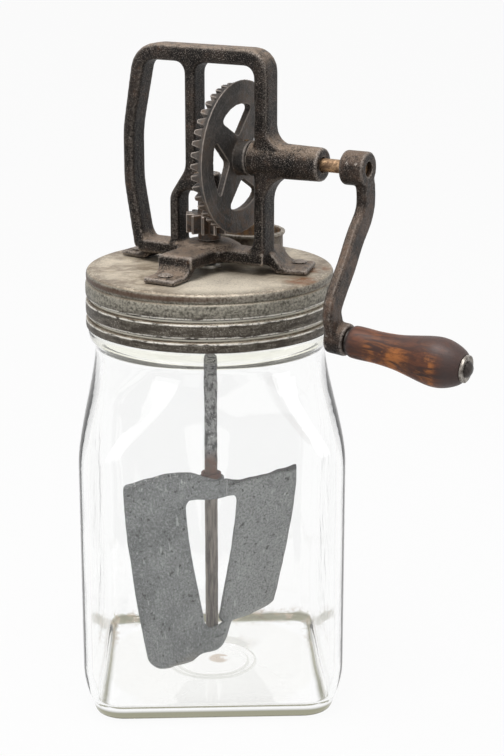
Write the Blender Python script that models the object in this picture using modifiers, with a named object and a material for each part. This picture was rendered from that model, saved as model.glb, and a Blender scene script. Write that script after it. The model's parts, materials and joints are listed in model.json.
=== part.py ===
"""Hand-cranked butter churn with a square glass jar, a threaded tin lid and an iron gear frame.

Metres, +Z up. The origin is the centre of the jar's flat base, and the jar's sides face X and Y.
The frame, its gears and the crank stand on the lid, turned about Z by FRAME_YAW.
"""
import math

import bmesh
import bpy
from mathutils import Matrix, Vector

# Fits and finish shared by every piece
CLEARANCE = 0.0003
OVERRUN = 0.002
MERGE = 0.000001
FINE_STEPS = 48
ROUND_STEPS = 24
SMALL_STEPS = 12

# Glass jar
JAR_WIDTH = 0.120
JAR_CORNER_RADIUS = 0.021
JAR_WALL = 0.0042
JAR_FLOOR = 0.0075
JAR_FOOT_RADIUS = 0.0045
JAR_HEEL_RADIUS = 0.009
JAR_STRAIGHT_HEIGHT = 0.120
JAR_SHOULDER_HEIGHT = 0.046
JAR_COLLAR_HEIGHT = 0.0045
JAR_COLLAR_PROUD = 0.0022
JAR_NECK_HEIGHT = 0.032
JAR_NECK_RADIUS = 0.0530
JAR_NECK_WALL = 0.0045
JAR_THREAD_PROUD = 0.0013
JAR_BASE_RING_RADIUS = 0.030
JAR_BASE_RING_RISE = 0.0012

# Threaded lid and its seal
LID_THREAD_GAP = 0.0007
LID_SHEET = 0.0008
LID_EDGE_RADIUS = 0.0022
LID_GROOVE = 0.0012
THREAD_TURNS = 3
THREAD_RUNOUT = 0.0020
SEAL_THICKNESS = 0.0016
SEAL_WIDTH = 0.0060

# Sleeve of the dasher shaft in the lid
SLEEVE_RADIUS = 0.0046
SLEEVE_FLANGE_RADIUS = 0.0054
SLEEVE_FLANGE = 0.0011

# Filler neck and its strainer, behind the frame
FILLER_EDGE_GAP = 0.0042
FILLER_BOSS_GAP = 0.0068
FILLER_SHEET = 0.0008
FILLER_HEIGHT = 0.0100
FILLER_RIM_RADIUS = 0.0010
FILLER_FLANGE = 0.0012
STRAINER_SHEET = 0.0006
STRAINER_HOLE_RADIUS = 0.0012
STRAINER_RING_RADIUS = 0.0062
STRAINER_HOLES = 8

# Iron gear frame
FRAME_YAW = math.radians(-32.0)
FRAME_DEPTH = 0.0120
WHEEL_TOP_GAP = 0.0066
COLUMN_THICKNESS = 0.0056
MIDDLE_THICKNESS = 0.0052
TOP_BAR_THICKNESS = 0.0075
FRAME_EDGE = 0.0019
LEFT_FOOT_INSET = 0.0125
LEFT_BOW = 0.0080
BOW_RADIUS = 0.060
LEFT_TOP_LEAN = 0.0015
RIGHT_COLUMN_X = 0.0286
MIDDLE_COLUMN_X = 0.0072
TOP_CORNER_RADIUS = 0.0100
LEFT_CORNER_RADIUS = 0.0135
SILL_FILLET = 0.0080
LEG_OUTER_X = 0.0182
LEG_THICKNESS = 0.0046
KNEE_TOP_HEIGHT = 0.0450
KNEE_LOW_HEIGHT = 0.0325
KNEE_RADIUS = 0.0090
ARCH_HEIGHT = 0.0350
ARCH_RADIUS = 0.0050
BEARING_THICKNESS = 0.0085
BEARING_RADIUS = 0.0052
PLATE_LIFT = 0.0042
PLATE_THICKNESS = 0.0065
PLATE_FILLET = 0.0080
PLATE_BOSS_RADIUS = 0.0150
PLATE_BOSS_RISE = 0.0018
ARM_WIDTH = 0.0130
RIGHT_ARM_WIDTH = 0.0210
FRONT_ARM_WIDTH = 0.0172
SIDE_RIVET_GAP = 0.0057
LEFT_FOOT_TURN = math.radians(174.0)
RIGHT_FOOT_TURN = math.radians(17.0)
RIGHT_RIVET_TURN = math.radians(23.0)
FRONT_FOOT_TURN = math.radians(-90.0)
FRONT_RIVET_GAP = 0.0092
FOOT_PAD = 0.0138
FOOT_THICKNESS = 0.0026
BUSHING_END = 0.0583
BUSHING_RADIUS = 0.0080
GUSSET = 0.0120
BUSHING_END_RADIUS = 0.0075
BUSHING_FILLET = 0.0120

# Rivets that hold the three feet to the lid
RIVET_RADIUS = 0.0019
RIVET_HEAD_RADIUS = 0.0034
RIVET_HEAD = 0.0011
RIVET_INSET = 0.0062

# Gears: the wheel has its teeth on one face and meets the pinion at the jar's axis
TOOTH_MODULE = 0.0016
WHEEL_TEETH = 40
PINION_TEETH = 12
ADDENDUM = 0.0013
WHEEL_ADDENDUM = 0.0005
TOOTH_HEIGHT = 0.0034
BACKLASH = 0.00040
FLANK_ANGLE = math.radians(20.0)
TOOTH_WIDTH = 0.0050
WHEEL_PLATE_GAP = 0.0066
RIM_THICKNESS = 0.0043
RIM_WIDTH = 0.0108
SPOKE_THICKNESS = 0.0032
SPOKE_WIDTH = 0.0094
SPOKE_FILLET = 0.0050
SPOKES = 4
SPOKE_YAW = math.radians(54.0)
WHEEL_HUB_RADIUS = 0.0080
WHEEL_HUB_LENGTH = 0.0100
PINION_FACE = 0.0086
PINION_LIFT = 0.0010
PINION_HUB_RADIUS = 0.0052
PIN_RADIUS = 0.0010

# Crank shaft, crank and turning handle
CRANK_SHAFT_RADIUS = 0.0030
CRANK_HUB_GAP = 0.0107
CRANK_HUB_LENGTH = 0.0110
CRANK_HUB_RADIUS = 0.0076
CRANK_RADIUS = 0.0735
CRANK_REST_ANGLE = math.radians(18.5)
HANDLE_DROOP = math.radians(5.0)
CRANK_ARM_THICKNESS = 0.0050
CRANK_ARM_WIDTH = 0.0112
ARM_CENTRE_SHARES = [
    (0.0, 0.0), (0.10, -0.072), (0.19, -0.108), (0.28, -0.098), (0.38, -0.05), (0.47, -0.017), (0.59, 0.02),
    (0.77, 0.095), (0.88, 0.105), (1.0, 0.0),
]
CRANK_BOSS_RADIUS = 0.0072
CRANK_BOSS_LENGTH = 0.0087
SPINDLE_RADIUS = 0.0024
SPINDLE_HEAD_RADIUS = 0.0037
SPINDLE_HEAD = 0.0020
WASHER_THICKNESS = 0.0011
INNER_WASHER_RADIUS = 0.0055
HANDLE_LENGTH = 0.0530
HANDLE_NECK_RADIUS = 0.0070
HANDLE_END_RADIUS = 0.0071
HANDLE_SWELL_RADIUS = 0.0107
HANDLE_TIP_RADIUS = 0.0064

# Dasher
DASHER_SHAFT_RADIUS = 0.0030
BLADE_BOTTOM = 0.0180
BLADE_HEIGHT = 0.0810
BLADE_MOUTH_GAP = 0.0055
BLADE_SHEET = 0.0016
BLADE_YAW_TOP = math.radians(47.75)
BLADE_YAW_BOTTOM = math.radians(81.75)
BLADE_SLOT_TOP = 0.0120
BLADE_SLOT_BOTTOM = 0.0062
BLADE_LIP = 0.0030
BLADE_WEB = 0.0070
BLADE_TAB_RADIUS = 0.0066
BLADE_TAB_THICKNESS = 0.0026

# Heights and stations worked out from the sizes above
JAR_NECK_START = JAR_STRAIGHT_HEIGHT + JAR_SHOULDER_HEIGHT + JAR_COLLAR_HEIGHT + 2 * JAR_COLLAR_PROUD
JAR_RIM_HEIGHT = JAR_STRAIGHT_HEIGHT + JAR_SHOULDER_HEIGHT + JAR_NECK_HEIGHT
JAR_BORE = JAR_NECK_RADIUS - JAR_NECK_WALL
SEAL_BORE = JAR_NECK_RADIUS - SEAL_WIDTH
LID_UNDER = JAR_RIM_HEIGHT + CLEARANCE + SEAL_THICKNESS + CLEARANCE
LID_TOP = LID_UNDER + LID_SHEET
LID_BOTTOM = JAR_NECK_START + CLEARANCE
LID_INNER = JAR_NECK_RADIUS + JAR_THREAD_PROUD + LID_THREAD_GAP
LID_RADIUS = LID_INNER + LID_SHEET + LID_GROOVE
THREAD_PITCH = (LID_TOP - LID_EDGE_RADIUS - THREAD_RUNOUT - LID_BOTTOM) / THREAD_TURNS
FILLER_RADIUS = (LID_RADIUS - FILLER_EDGE_GAP - PLATE_BOSS_RADIUS - FILLER_BOSS_GAP) / 2
FILLER_OFFSET = LID_RADIUS - FILLER_RADIUS - FILLER_EDGE_GAP
SIDE_RIVET_REACH = SEAL_BORE - SIDE_RIVET_GAP
SIDE_FOOT_REACH = SIDE_RIVET_REACH + RIVET_INSET
FRONT_RIVET_REACH = SEAL_BORE - FRONT_RIVET_GAP
FRONT_FOOT_REACH = FRONT_RIVET_REACH + RIVET_INSET
LEFT_FOOT_X = SIDE_FOOT_REACH - LEFT_FOOT_INSET
LEFT_BOW_X = LEFT_FOOT_X + LEFT_BOW
LEFT_TOP_X = LEFT_FOOT_X - LEFT_TOP_LEAN
BLADE_HALF_WIDTH = JAR_BORE - BLADE_MOUTH_GAP
PLATE_BOTTOM = LID_TOP + PLATE_LIFT
PLATE_TOP = PLATE_BOTTOM + PLATE_THICKNESS
WINDOW_SILL = PLATE_TOP - FRAME_EDGE
WHEEL_PITCH_RADIUS = TOOTH_MODULE * WHEEL_TEETH / 2
PINION_PITCH_RADIUS = TOOTH_MODULE * PINION_TEETH / 2
WHEEL_RADIUS = WHEEL_PITCH_RADIUS + TOOTH_WIDTH / 2
SHAFT_Z = PLATE_TOP + WHEEL_PLATE_GAP + WHEEL_RADIUS
FRAME_TOP = SHAFT_Z + WHEEL_RADIUS + WHEEL_TOP_GAP + TOP_BAR_THICKNESS
TOOTH_TIP_X = PINION_PITCH_RADIUS - WHEEL_ADDENDUM
RIM_BACK_X = TOOTH_TIP_X + TOOTH_HEIGHT
RIM_FRONT_X = RIM_BACK_X + RIM_THICKNESS
HUB_FRONT_X = RIM_FRONT_X + WHEEL_HUB_LENGTH - RIM_THICKNESS
BUSHING_START = HUB_FRONT_X + CLEARANCE
PLATE_BOSS_TOP = PLATE_TOP + PLATE_BOSS_RISE
PINION_MIDDLE_Z = SHAFT_Z - WHEEL_PITCH_RADIUS + PINION_LIFT
PINION_TOP = PINION_MIDDLE_Z + PINION_FACE / 2
ARCH_Z = LID_TOP + ARCH_HEIGHT
BEARING_BOTTOM = ARCH_Z - OVERRUN
BEARING_TOP = ARCH_Z + BEARING_THICKNESS
CRANK_HUB_X = BUSHING_END + CRANK_HUB_GAP
CRANK_HUB_END = CRANK_HUB_X + CRANK_HUB_LENGTH
CRANK_ARM_X = CRANK_HUB_END - CRANK_ARM_THICKNESS
CRANK_BOSS_END = CRANK_ARM_X + CRANK_BOSS_LENGTH
HANDLE_PIVOT_X = CRANK_ARM_X + CRANK_ARM_THICKNESS / 2
INNER_WASHER_X = CRANK_BOSS_END + CLEARANCE
HANDLE_X = INNER_WASHER_X + WASHER_THICKNESS + CLEARANCE
OUTER_WASHER_X = HANDLE_X + HANDLE_LENGTH + CLEARANCE
SPINDLE_HEAD_X = OUTER_WASHER_X + WASHER_THICKNESS + CLEARANCE
SHAFT_BORE = CRANK_SHAFT_RADIUS + CLEARANCE
DASHER_BORE = DASHER_SHAFT_RADIUS + CLEARANCE
PIN_BORE = PIN_RADIUS + CLEARANCE

COLLECTION_NAME = "butter_churn"
CUTTER_COLLECTION_NAME = "cutters"


# Scene, materials and empties
def clear_scene():
    for item in list(bpy.data.objects):
        bpy.data.objects.remove(item, do_unlink=True)


def new_collection(name):
    found = bpy.data.collections.get(name)
    if found is None:
        found = bpy.data.collections.new(name)
        bpy.context.scene.collection.children.link(found)
    return found


def material(name, colour, roughness, metallic, transmission=0.0):
    made = bpy.data.materials.get(name)
    if made is None:
        made = bpy.data.materials.new(name)
        made.use_nodes = True
        shader = made.node_tree.nodes["Principled BSDF"]
        shader.inputs["Base Color"].default_value = (*colour, 1.0)
        shader.inputs["Roughness"].default_value = roughness
        shader.inputs["Metallic"].default_value = metallic
        shader.inputs["Transmission Weight"].default_value = transmission
    return made


def empty(name, location, parent=None, yaw=0.0):
    made = bpy.data.objects.new(name, None)
    parts.objects.link(made)
    made.location = location
    made.rotation_euler = (0.0, 0.0, yaw)
    made.parent = parent
    return made


# Shapes
def link(name, mesh, home):
    made = bpy.data.objects.new(name, mesh)
    home.objects.link(made)
    return made


def solid_from(made):
    """Turns a curve object, or one with modifiers, into a plain welded mesh in place."""
    bpy.context.view_layer.update()
    graph = bpy.context.evaluated_depsgraph_get()
    mesh = bpy.data.meshes.new_from_object(made.evaluated_get(graph))
    work = bmesh.new()
    work.from_mesh(mesh)
    bmesh.ops.remove_doubles(work, verts=work.verts, dist=MERGE)
    bmesh.ops.recalc_face_normals(work, faces=work.faces)
    work.to_mesh(mesh)
    work.free()
    name = made.name
    home = made.users_collection[0]
    place = made.matrix_world.copy()
    bpy.data.objects.remove(made, do_unlink=True)
    solid = link(name, mesh, home)
    solid.matrix_world = place
    return solid


def arc_corner(before, corner, after, radius, steps):
    """Points that round one corner of an outline with an arc of the given radius."""
    corner = Vector(corner)
    arm_in = (Vector(before) - corner)
    arm_out = (Vector(after) - corner)
    angle = arm_in.angle(arm_out)
    if radius <= 0.0 or angle > math.pi - MERGE:
        return [tuple(corner)]
    reach = radius / math.tan(angle / 2)
    reach = min(reach, arm_in.length * 0.49, arm_out.length * 0.49)
    radius = reach * math.tan(angle / 2)
    start = corner + arm_in.normalized() * reach
    finish = corner + arm_out.normalized() * reach
    middle = corner + (arm_in.normalized() + arm_out.normalized()).normalized() * radius / math.sin(angle / 2)
    first = start - middle
    sweep = math.atan2(first.cross(finish - middle), first.dot(finish - middle))
    points = []
    for step in range(steps + 1):
        turn = sweep * step / steps
        points.append(tuple(middle + Matrix.Rotation(turn, 2) @ first))
    return points


def rounded(corners, steps=5):
    """An outline from (x, y, radius) corners."""
    points = []
    for index, (x, y, radius) in enumerate(corners):
        before = corners[index - 1][:2]
        after = corners[(index + 1) % len(corners)][:2]
        points += arc_corner(before, (x, y), after, radius, steps)
    return points


def circle(radius, steps):
    turns = [2 * math.pi * step / steps for step in range(steps)]
    return [(radius * math.cos(turn), radius * math.sin(turn)) for turn in turns]


def slab(name, outlines, thickness, edge=0.0, segments=1, home=None):
    """A flat piece with rounded edges: closed outlines in XY, half its thickness each way."""
    curve = bpy.data.curves.new(name, "CURVE")
    curve.dimensions = "2D"
    curve.fill_mode = "BOTH"
    curve.extrude = thickness / 2 - edge
    curve.bevel_depth = edge
    curve.bevel_resolution = segments - 1
    curve.offset = -edge
    for outline in outlines:
        spline = curve.splines.new("POLY")
        spline.points.add(len(outline) - 1)
        for point, (x, y) in zip(spline.points, outline):
            point.co = (x, y, 0.0, 1.0)
        spline.use_cyclic_u = True
    return solid_from(link(name, curve, home or parts))


def bevelled(made, width, segments=2, angle=35.0):
    """Rounds the sharp edges of a mesh object and applies the result."""
    rounding = made.modifiers.new("rounded_edges", "BEVEL")
    rounding.width = width
    rounding.segments = segments
    rounding.limit_method = "ANGLE"
    rounding.angle_limit = math.radians(angle)
    return solid_from(made)


def moved(made, matrix):
    """Bakes a placement into the mesh, so that the object stays at its parent's origin."""
    made.data.transform(matrix)
    made.data.update()
    return made


TO_XZ = Matrix.Rotation(math.radians(90.0), 4, "X")
TO_YZ = Matrix.Rotation(math.radians(90.0), 4, "Z") @ Matrix.Rotation(math.radians(90.0), 4, "X")
Z_TO_X = Matrix.Rotation(math.radians(90.0), 4, "Y")


def turned(name, profile, steps, home=None, closed=False):
    """A turned piece about Z: (radius, height) points, top to bottom down the outer side."""
    mesh = bpy.data.meshes.new(name)
    edges = [(index, index + 1) for index in range(len(profile) - 1)]
    if closed:
        edges.append((len(profile) - 1, 0))
    mesh.from_pydata([(radius, 0.0, height) for radius, height in profile], edges, [])
    made = link(name, mesh, home or parts)
    screw = made.modifiers.new("turning", "SCREW")
    screw.axis = "Z"
    screw.angle = 2 * math.pi
    screw.steps = steps
    screw.render_steps = steps
    screw.use_merge_vertices = True
    screw.merge_threshold = MERGE
    return solid_from(made)


def rod(name, radius, low, high, steps=ROUND_STEPS, home=None):
    return turned(name, [(0.0, high), (radius, high), (radius, low), (0.0, low)], steps, home)


def ring(name, inner, outer, low, high, steps=ROUND_STEPS, home=None):
    profile = [(inner, high), (outer, high), (outer, low), (inner, low)]
    return turned(name, profile, steps, home, closed=True)


def boolean(made, others, operation, solver):
    for other in others:
        step = made.modifiers.new(other.name, "BOOLEAN")
        step.operation = operation
        step.solver = solver
        step.object = other
        made = solid_from(made)
        bpy.data.objects.remove(other, do_unlink=True)
    return made


def joined(made, others, solver="EXACT"):
    return boolean(made, others, "UNION", solver)


def cut(made, others, solver="EXACT"):
    return boolean(made, others, "DIFFERENCE", solver)


def cutter_rod(name, radius, low, high, steps=ROUND_STEPS):
    made = rod(name, radius, low, high, steps, cutters)
    made.hide_render = True
    made.display_type = "WIRE"
    return made


def finish(made, look, parent, centre=(0.0, 0.0, 0.0), sharp=32.0):
    """Shades a piece, gives it its material and hangs it on its parent, with its origin at centre."""
    moved(made, Matrix.Translation(-Vector(centre)))
    made.data.shade_smooth()
    made.data.set_sharp_from_angle(angle=math.radians(sharp))
    made.data.materials.clear()
    made.data.materials.append(look)
    made.parent = parent
    made.location = Vector(centre)
    return made


# Glass jar
def square_radius(half, corner, angle):
    """Distance from the axis to a rounded square's outline in the direction of angle."""
    across = abs(math.cos(angle))
    up = abs(math.sin(angle))
    flat = half - corner
    total = flat * (across + up)
    on_arc = total + math.sqrt(max(total * total - 2 * flat * flat + corner * corner, 0.0))
    x = on_arc * across
    y = on_arc * up
    if x > flat and y > flat:
        return on_arc
    return half / max(across, up)


def jar_angles():
    """Directions round the jar, closer together at its corners."""
    per_side = FINE_STEPS // 4
    angles = []
    for side in range(4):
        for step in range(per_side):
            place = 2 * step / per_side - 1
            bent = math.copysign(abs(place) ** 1.5, place)
            angles.append(math.radians(90.0) * side + math.radians(45.0) * (1 + bent))
    return angles


def jar_section(height, half, corner):
    points = []
    for angle in jar_angles():
        reach = square_radius(half, corner, angle)
        points.append((reach * math.cos(angle), reach * math.sin(angle), height))
    return points


def heel(height, half, corner, radius, steps):
    """Sections that round the jar's foot, from the flat base up to its side."""
    sections = []
    for step in range(steps + 1):
        turn = math.radians(90.0) * step / steps
        inset = radius * (1 - math.sin(turn))
        rise = radius * (1 - math.cos(turn))
        sections.append((height + rise, half - inset, max(corner - inset, corner / 2)))
    return sections


def shoulder(start, half, corner, neck, rise, steps):
    """Sections that ease the square body into the round neck."""
    sections = []
    for step in range(1, steps + 1):
        share = step / steps
        ease = share * share * (3 - 2 * share)
        width = half + (neck - half) * ease
        sections.append((start + rise * share, width, corner + (neck - corner) * ease))
    return sections


def jar_outside():
    half = JAR_WIDTH / 2
    collar_low = JAR_STRAIGHT_HEIGHT + JAR_SHOULDER_HEIGHT + JAR_COLLAR_PROUD
    collar_high = collar_low + JAR_COLLAR_HEIGHT
    collar = JAR_NECK_RADIUS + JAR_COLLAR_PROUD
    sections = heel(0.0, half, JAR_CORNER_RADIUS, JAR_FOOT_RADIUS, 4)
    sections += [(JAR_STRAIGHT_HEIGHT, half, JAR_CORNER_RADIUS)]
    sections += shoulder(JAR_STRAIGHT_HEIGHT, half, JAR_CORNER_RADIUS, JAR_NECK_RADIUS, JAR_SHOULDER_HEIGHT, 6)
    sections += [(collar_low, collar, collar), (collar_high, collar, collar)]
    sections += [(JAR_NECK_START, JAR_NECK_RADIUS, JAR_NECK_RADIUS)]
    crest = JAR_NECK_RADIUS + JAR_THREAD_PROUD
    for turn in range(2):
        middle = JAR_RIM_HEIGHT - THREAD_PITCH * (2 - turn) + THREAD_PITCH / 4
        for offset, radius in ((-1, JAR_NECK_RADIUS), (0, crest), (1, JAR_NECK_RADIUS)):
            sections.append((middle + offset * JAR_THREAD_PROUD, radius, radius))
    sections += [(JAR_RIM_HEIGHT, JAR_NECK_RADIUS, JAR_NECK_RADIUS)]
    return sections


def jar_inside():
    half = JAR_WIDTH / 2 - JAR_WALL
    corner = JAR_CORNER_RADIUS - JAR_WALL
    sections = heel(JAR_FLOOR, half, corner, JAR_HEEL_RADIUS, 3)
    sections += [(JAR_STRAIGHT_HEIGHT, half, corner)]
    sections += shoulder(JAR_STRAIGHT_HEIGHT, half, corner, JAR_BORE, JAR_SHOULDER_HEIGHT, 5)
    sections += [(JAR_RIM_HEIGHT, JAR_BORE, JAR_BORE)]
    return sections


def make_jar():
    """One loft: up the outside, over the rim, down the inside and across the floor."""
    ring_radius = JAR_BASE_RING_RADIUS
    floor = [(JAR_FLOOR, ring_radius), (JAR_FLOOR + JAR_BASE_RING_RISE, ring_radius - OVERRUN)]
    outside = [jar_section(*section) for section in jar_outside()]
    inside = [jar_section(*section) for section in reversed(jar_inside())]
    inside += [jar_section(height, radius, radius) for height, radius in floor]
    mesh = bpy.data.meshes.new("glass_jar")
    work = bmesh.new()
    rows = [[work.verts.new(point) for point in section] for section in outside + inside]
    count = len(rows[0])
    for low, high in zip(rows, rows[1:]):
        for index in range(count):
            after = (index + 1) % count
            work.faces.new((low[index], low[after], high[after], high[index]))
    work.faces.new(list(reversed(rows[0])))
    work.faces.new(rows[-1])
    bmesh.ops.recalc_face_normals(work, faces=work.faces)
    work.to_mesh(mesh)
    work.free()
    return finish(link("glass_jar", mesh, parts), GLASS, None, sharp=40.0)


# Lid and what is fastened in it
def lid_skirt_profile():
    """Down the lid's rolled outside, one groove under each thread."""
    points = []
    steps = 3
    for step in range(steps + 1):
        turn = math.radians(90.0) * step / steps
        radius = LID_RADIUS - LID_EDGE_RADIUS * (1 - math.sin(turn))
        points.append((radius, LID_TOP - LID_EDGE_RADIUS * (1 - math.cos(turn))))
    for turn in range(THREAD_TURNS):
        middle = LID_BOTTOM + THREAD_PITCH * (THREAD_TURNS - turn - 0.35)
        points.append((LID_RADIUS, middle + THREAD_PITCH / 4))
        points.append((LID_RADIUS - LID_GROOVE, middle + THREAD_PITCH / 12))
        points.append((LID_RADIUS - LID_GROOVE, middle - THREAD_PITCH / 12))
        points.append((LID_RADIUS, middle - THREAD_PITCH / 4))
    points.append((LID_RADIUS, LID_BOTTOM))
    return points


def make_lid():
    bore = SLEEVE_RADIUS + CLEARANCE
    profile = [(bore, LID_TOP)] + lid_skirt_profile()
    profile += [(LID_INNER, LID_BOTTOM), (LID_INNER, LID_UNDER), (bore, LID_UNDER)]
    lid = turned("screw_lid", profile, FINE_STEPS, closed=True)
    low = LID_UNDER - OVERRUN
    high = LID_TOP + OVERRUN
    hole = FILLER_RADIUS - FILLER_SHEET - FILLER_FLANGE
    tools = [moved(cutter_rod("filler_hole", hole, low, high), Matrix.Translation((0.0, FILLER_OFFSET, 0.0)))]
    for index, (x, y) in enumerate(rivet_places()):
        tool = cutter_rod(f"rivet_hole_{index}", RIVET_RADIUS + CLEARANCE, low, high, SMALL_STEPS)
        tools.append(moved(tool, Matrix.Translation((x, y, 0.0))))
    return finish(cut(lid, tools), TIN, mechanism)


def make_seal():
    low = JAR_RIM_HEIGHT + CLEARANCE
    seal = ring("lid_seal", SEAL_BORE, JAR_NECK_RADIUS, low, low + SEAL_THICKNESS, FINE_STEPS)
    return finish(seal, SEAL, mechanism)


def make_sleeve():
    top = LID_TOP + CLEARANCE + SLEEVE_FLANGE
    flange = LID_TOP + CLEARANCE
    low = LID_UNDER - SLEEVE_FLANGE
    profile = [(DASHER_BORE, top), (SLEEVE_FLANGE_RADIUS, top), (SLEEVE_FLANGE_RADIUS, flange)]
    profile += [(SLEEVE_RADIUS, flange), (SLEEVE_RADIUS, low), (DASHER_BORE, low)]
    return finish(turned("shaft_sleeve", profile, ROUND_STEPS, closed=True), BRIGHT_TIN, mechanism)


def make_filler():
    base = LID_TOP + CLEARANCE
    top = base + FILLER_HEIGHT
    inner = FILLER_RADIUS - FILLER_SHEET
    flange = FILLER_RADIUS + FILLER_FLANGE
    lip = FILLER_RADIUS + FILLER_RIM_RADIUS
    profile = [(inner, top), (FILLER_RADIUS, top + FILLER_RIM_RADIUS / 2), (lip, top)]
    profile += [(lip, top - FILLER_RIM_RADIUS), (FILLER_RADIUS, top - 2 * FILLER_RIM_RADIUS)]
    profile += [(FILLER_RADIUS, base + FILLER_SHEET), (flange, base + FILLER_SHEET)]
    profile += [(flange, base), (inner, base)]
    centre = Matrix.Translation((0.0, FILLER_OFFSET, 0.0))
    neck = moved(turned("filler_neck", profile, ROUND_STEPS, closed=True), centre)
    finish(neck, TIN, mechanism)
    holes = [circle(STRAINER_HOLE_RADIUS, STRAINER_HOLES)]
    for index in range(STRAINER_HOLES):
        turn = 2 * math.pi * index / STRAINER_HOLES
        middle = (STRAINER_RING_RADIUS * math.cos(turn), STRAINER_RING_RADIUS * math.sin(turn))
        holes.append([(middle[0] + x, middle[1] + y) for x, y in circle(STRAINER_HOLE_RADIUS, STRAINER_HOLES)])
    strainer = slab("filler_strainer", [circle(inner - CLEARANCE, ROUND_STEPS)] + holes, STRAINER_SHEET)
    place = Matrix.Translation((0.0, FILLER_OFFSET, base + STRAINER_SHEET / 2))
    finish(moved(strainer, place), RUST, mechanism)


# Iron frame
def rivet_places():
    feet = [(SIDE_RIVET_REACH, LEFT_FOOT_TURN), (SIDE_RIVET_REACH, RIGHT_RIVET_TURN),
            (FRONT_RIVET_REACH, FRONT_FOOT_TURN)]
    return [(reach * math.cos(turn), reach * math.sin(turn)) for reach, turn in feet]


def frame_outline():
    """The frame's outside in its own plane, as (x, height, corner radius)."""
    half = COLUMN_THICKNESS / 2
    right = RIGHT_COLUMN_X + half
    bow_z = (SHAFT_Z + PLATE_TOP) / 2 + COLUMN_THICKNESS
    return [
        (-LEFT_FOOT_X - half, PLATE_BOTTOM + FRAME_EDGE, 0.0),
        (right, PLATE_BOTTOM + FRAME_EDGE, 0.0),
        (right, SHAFT_Z - 1.25 * BUSHING_RADIUS, BUSHING_FILLET),
        (right + 1.5 * GUSSET, SHAFT_Z - BUSHING_RADIUS / 2, 0.0),
        (right + 1.5 * GUSSET, SHAFT_Z + BUSHING_RADIUS / 2, 0.0),
        (right + half / 2, SHAFT_Z + 1.1 * BUSHING_RADIUS, BUSHING_FILLET * 2 / 3),
        (right + half / 2, FRAME_TOP, TOP_CORNER_RADIUS),
        (-LEFT_TOP_X - half, FRAME_TOP, LEFT_CORNER_RADIUS),
        (-LEFT_BOW_X, bow_z + 2 * GUSSET, BOW_RADIUS),
        (-LEFT_BOW_X, bow_z, BOW_RADIUS),
    ]


def left_window_outline():
    """The opening left of the middle column, which bends away from the pinion as a leg."""
    half = COLUMN_THICKNESS / 2
    middle = -MIDDLE_COLUMN_X - MIDDLE_THICKNESS / 2
    under = FRAME_TOP - TOP_BAR_THICKNESS
    bow_z = (SHAFT_Z + PLATE_TOP) / 2 + COLUMN_THICKNESS
    return [
        (-LEFT_FOOT_X + half, WINDOW_SILL, SILL_FILLET),
        (-LEFT_BOW_X + COLUMN_THICKNESS, bow_z, BOW_RADIUS),
        (-LEFT_BOW_X + COLUMN_THICKNESS, bow_z + 2 * GUSSET, BOW_RADIUS),
        (-LEFT_TOP_X + half, under, TOP_CORNER_RADIUS / 2),
        (middle, under, TOP_CORNER_RADIUS / 2),
        (middle, LID_TOP + KNEE_TOP_HEIGHT, KNEE_RADIUS),
        (-LEG_OUTER_X, LID_TOP + KNEE_LOW_HEIGHT, KNEE_RADIUS),
        (-LEG_OUTER_X, WINDOW_SILL, 0.0),
    ]


def right_window_outline():
    """The opening that holds the gears, with the dasher's bearing standing into it over the pinion."""
    half = COLUMN_THICKNESS / 2
    middle = -MIDDLE_COLUMN_X + MIDDLE_THICKNESS / 2
    under = FRAME_TOP - TOP_BAR_THICKNESS
    bearing = BEARING_RADIUS - FRAME_EDGE / 2
    leg = -LEG_OUTER_X + LEG_THICKNESS
    crown = BEARING_TOP - FRAME_EDGE / 4
    return [
        (leg, WINDOW_SILL, 0.0), (leg, ARCH_Z, ARCH_RADIUS),
        (bearing, ARCH_Z, 0.0), (bearing, crown, FRAME_EDGE),
        (middle, crown, FRAME_EDGE), (middle, under, TOP_CORNER_RADIUS / 2),
        (RIGHT_COLUMN_X - half, under, TOP_CORNER_RADIUS / 2),
        (RIGHT_COLUMN_X - half, WINDOW_SILL, SILL_FILLET),
    ]


def plate_outline():
    arm = ARM_WIDTH / 2
    front = FRONT_ARM_WIDTH / 2
    left = -LEFT_FOOT_X
    right = RIGHT_COLUMN_X + COLUMN_THICKNESS / 2
    inner_front = -FRONT_FOOT_REACH + FOOT_PAD
    return [
        (left, -arm, 0.0), (-front, -arm, PLATE_FILLET), (-front, inner_front, 0.0), (front, inner_front, 0.0),
        (front, -arm, PLATE_FILLET), (right, -arm, 0.0), (right, arm, 0.0), (left, arm, 0.0),
    ]


def foot_outline(start, reach):
    """A foot from the side: the plate's end sweeps down to a thin pad on the lid."""
    bottom = LID_TOP + CLEARANCE
    pad = reach - FOOT_PAD
    step = FOOT_THICKNESS
    return [
        (start, PLATE_TOP - FRAME_EDGE / 2, 0.0), (pad - step, PLATE_TOP - FRAME_EDGE / 4, 2 * step),
        (pad + step, bottom + step, 2 * step), (reach, bottom + step, FRAME_EDGE / 2),
        (reach, bottom, FRAME_EDGE / 4), (pad, bottom, step),
        (pad - 2 * step, PLATE_BOTTOM + FRAME_EDGE / 4, step),
        (start, PLATE_BOTTOM + FRAME_EDGE / 4, 0.0),
    ]


def make_foot(name, start, reach, width, turn):
    foot = slab(name, [rounded(foot_outline(start, reach), 4)], width, FRAME_EDGE / 3)
    return moved(foot, Matrix.Rotation(turn, 4, "Z") @ TO_XZ)


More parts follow.
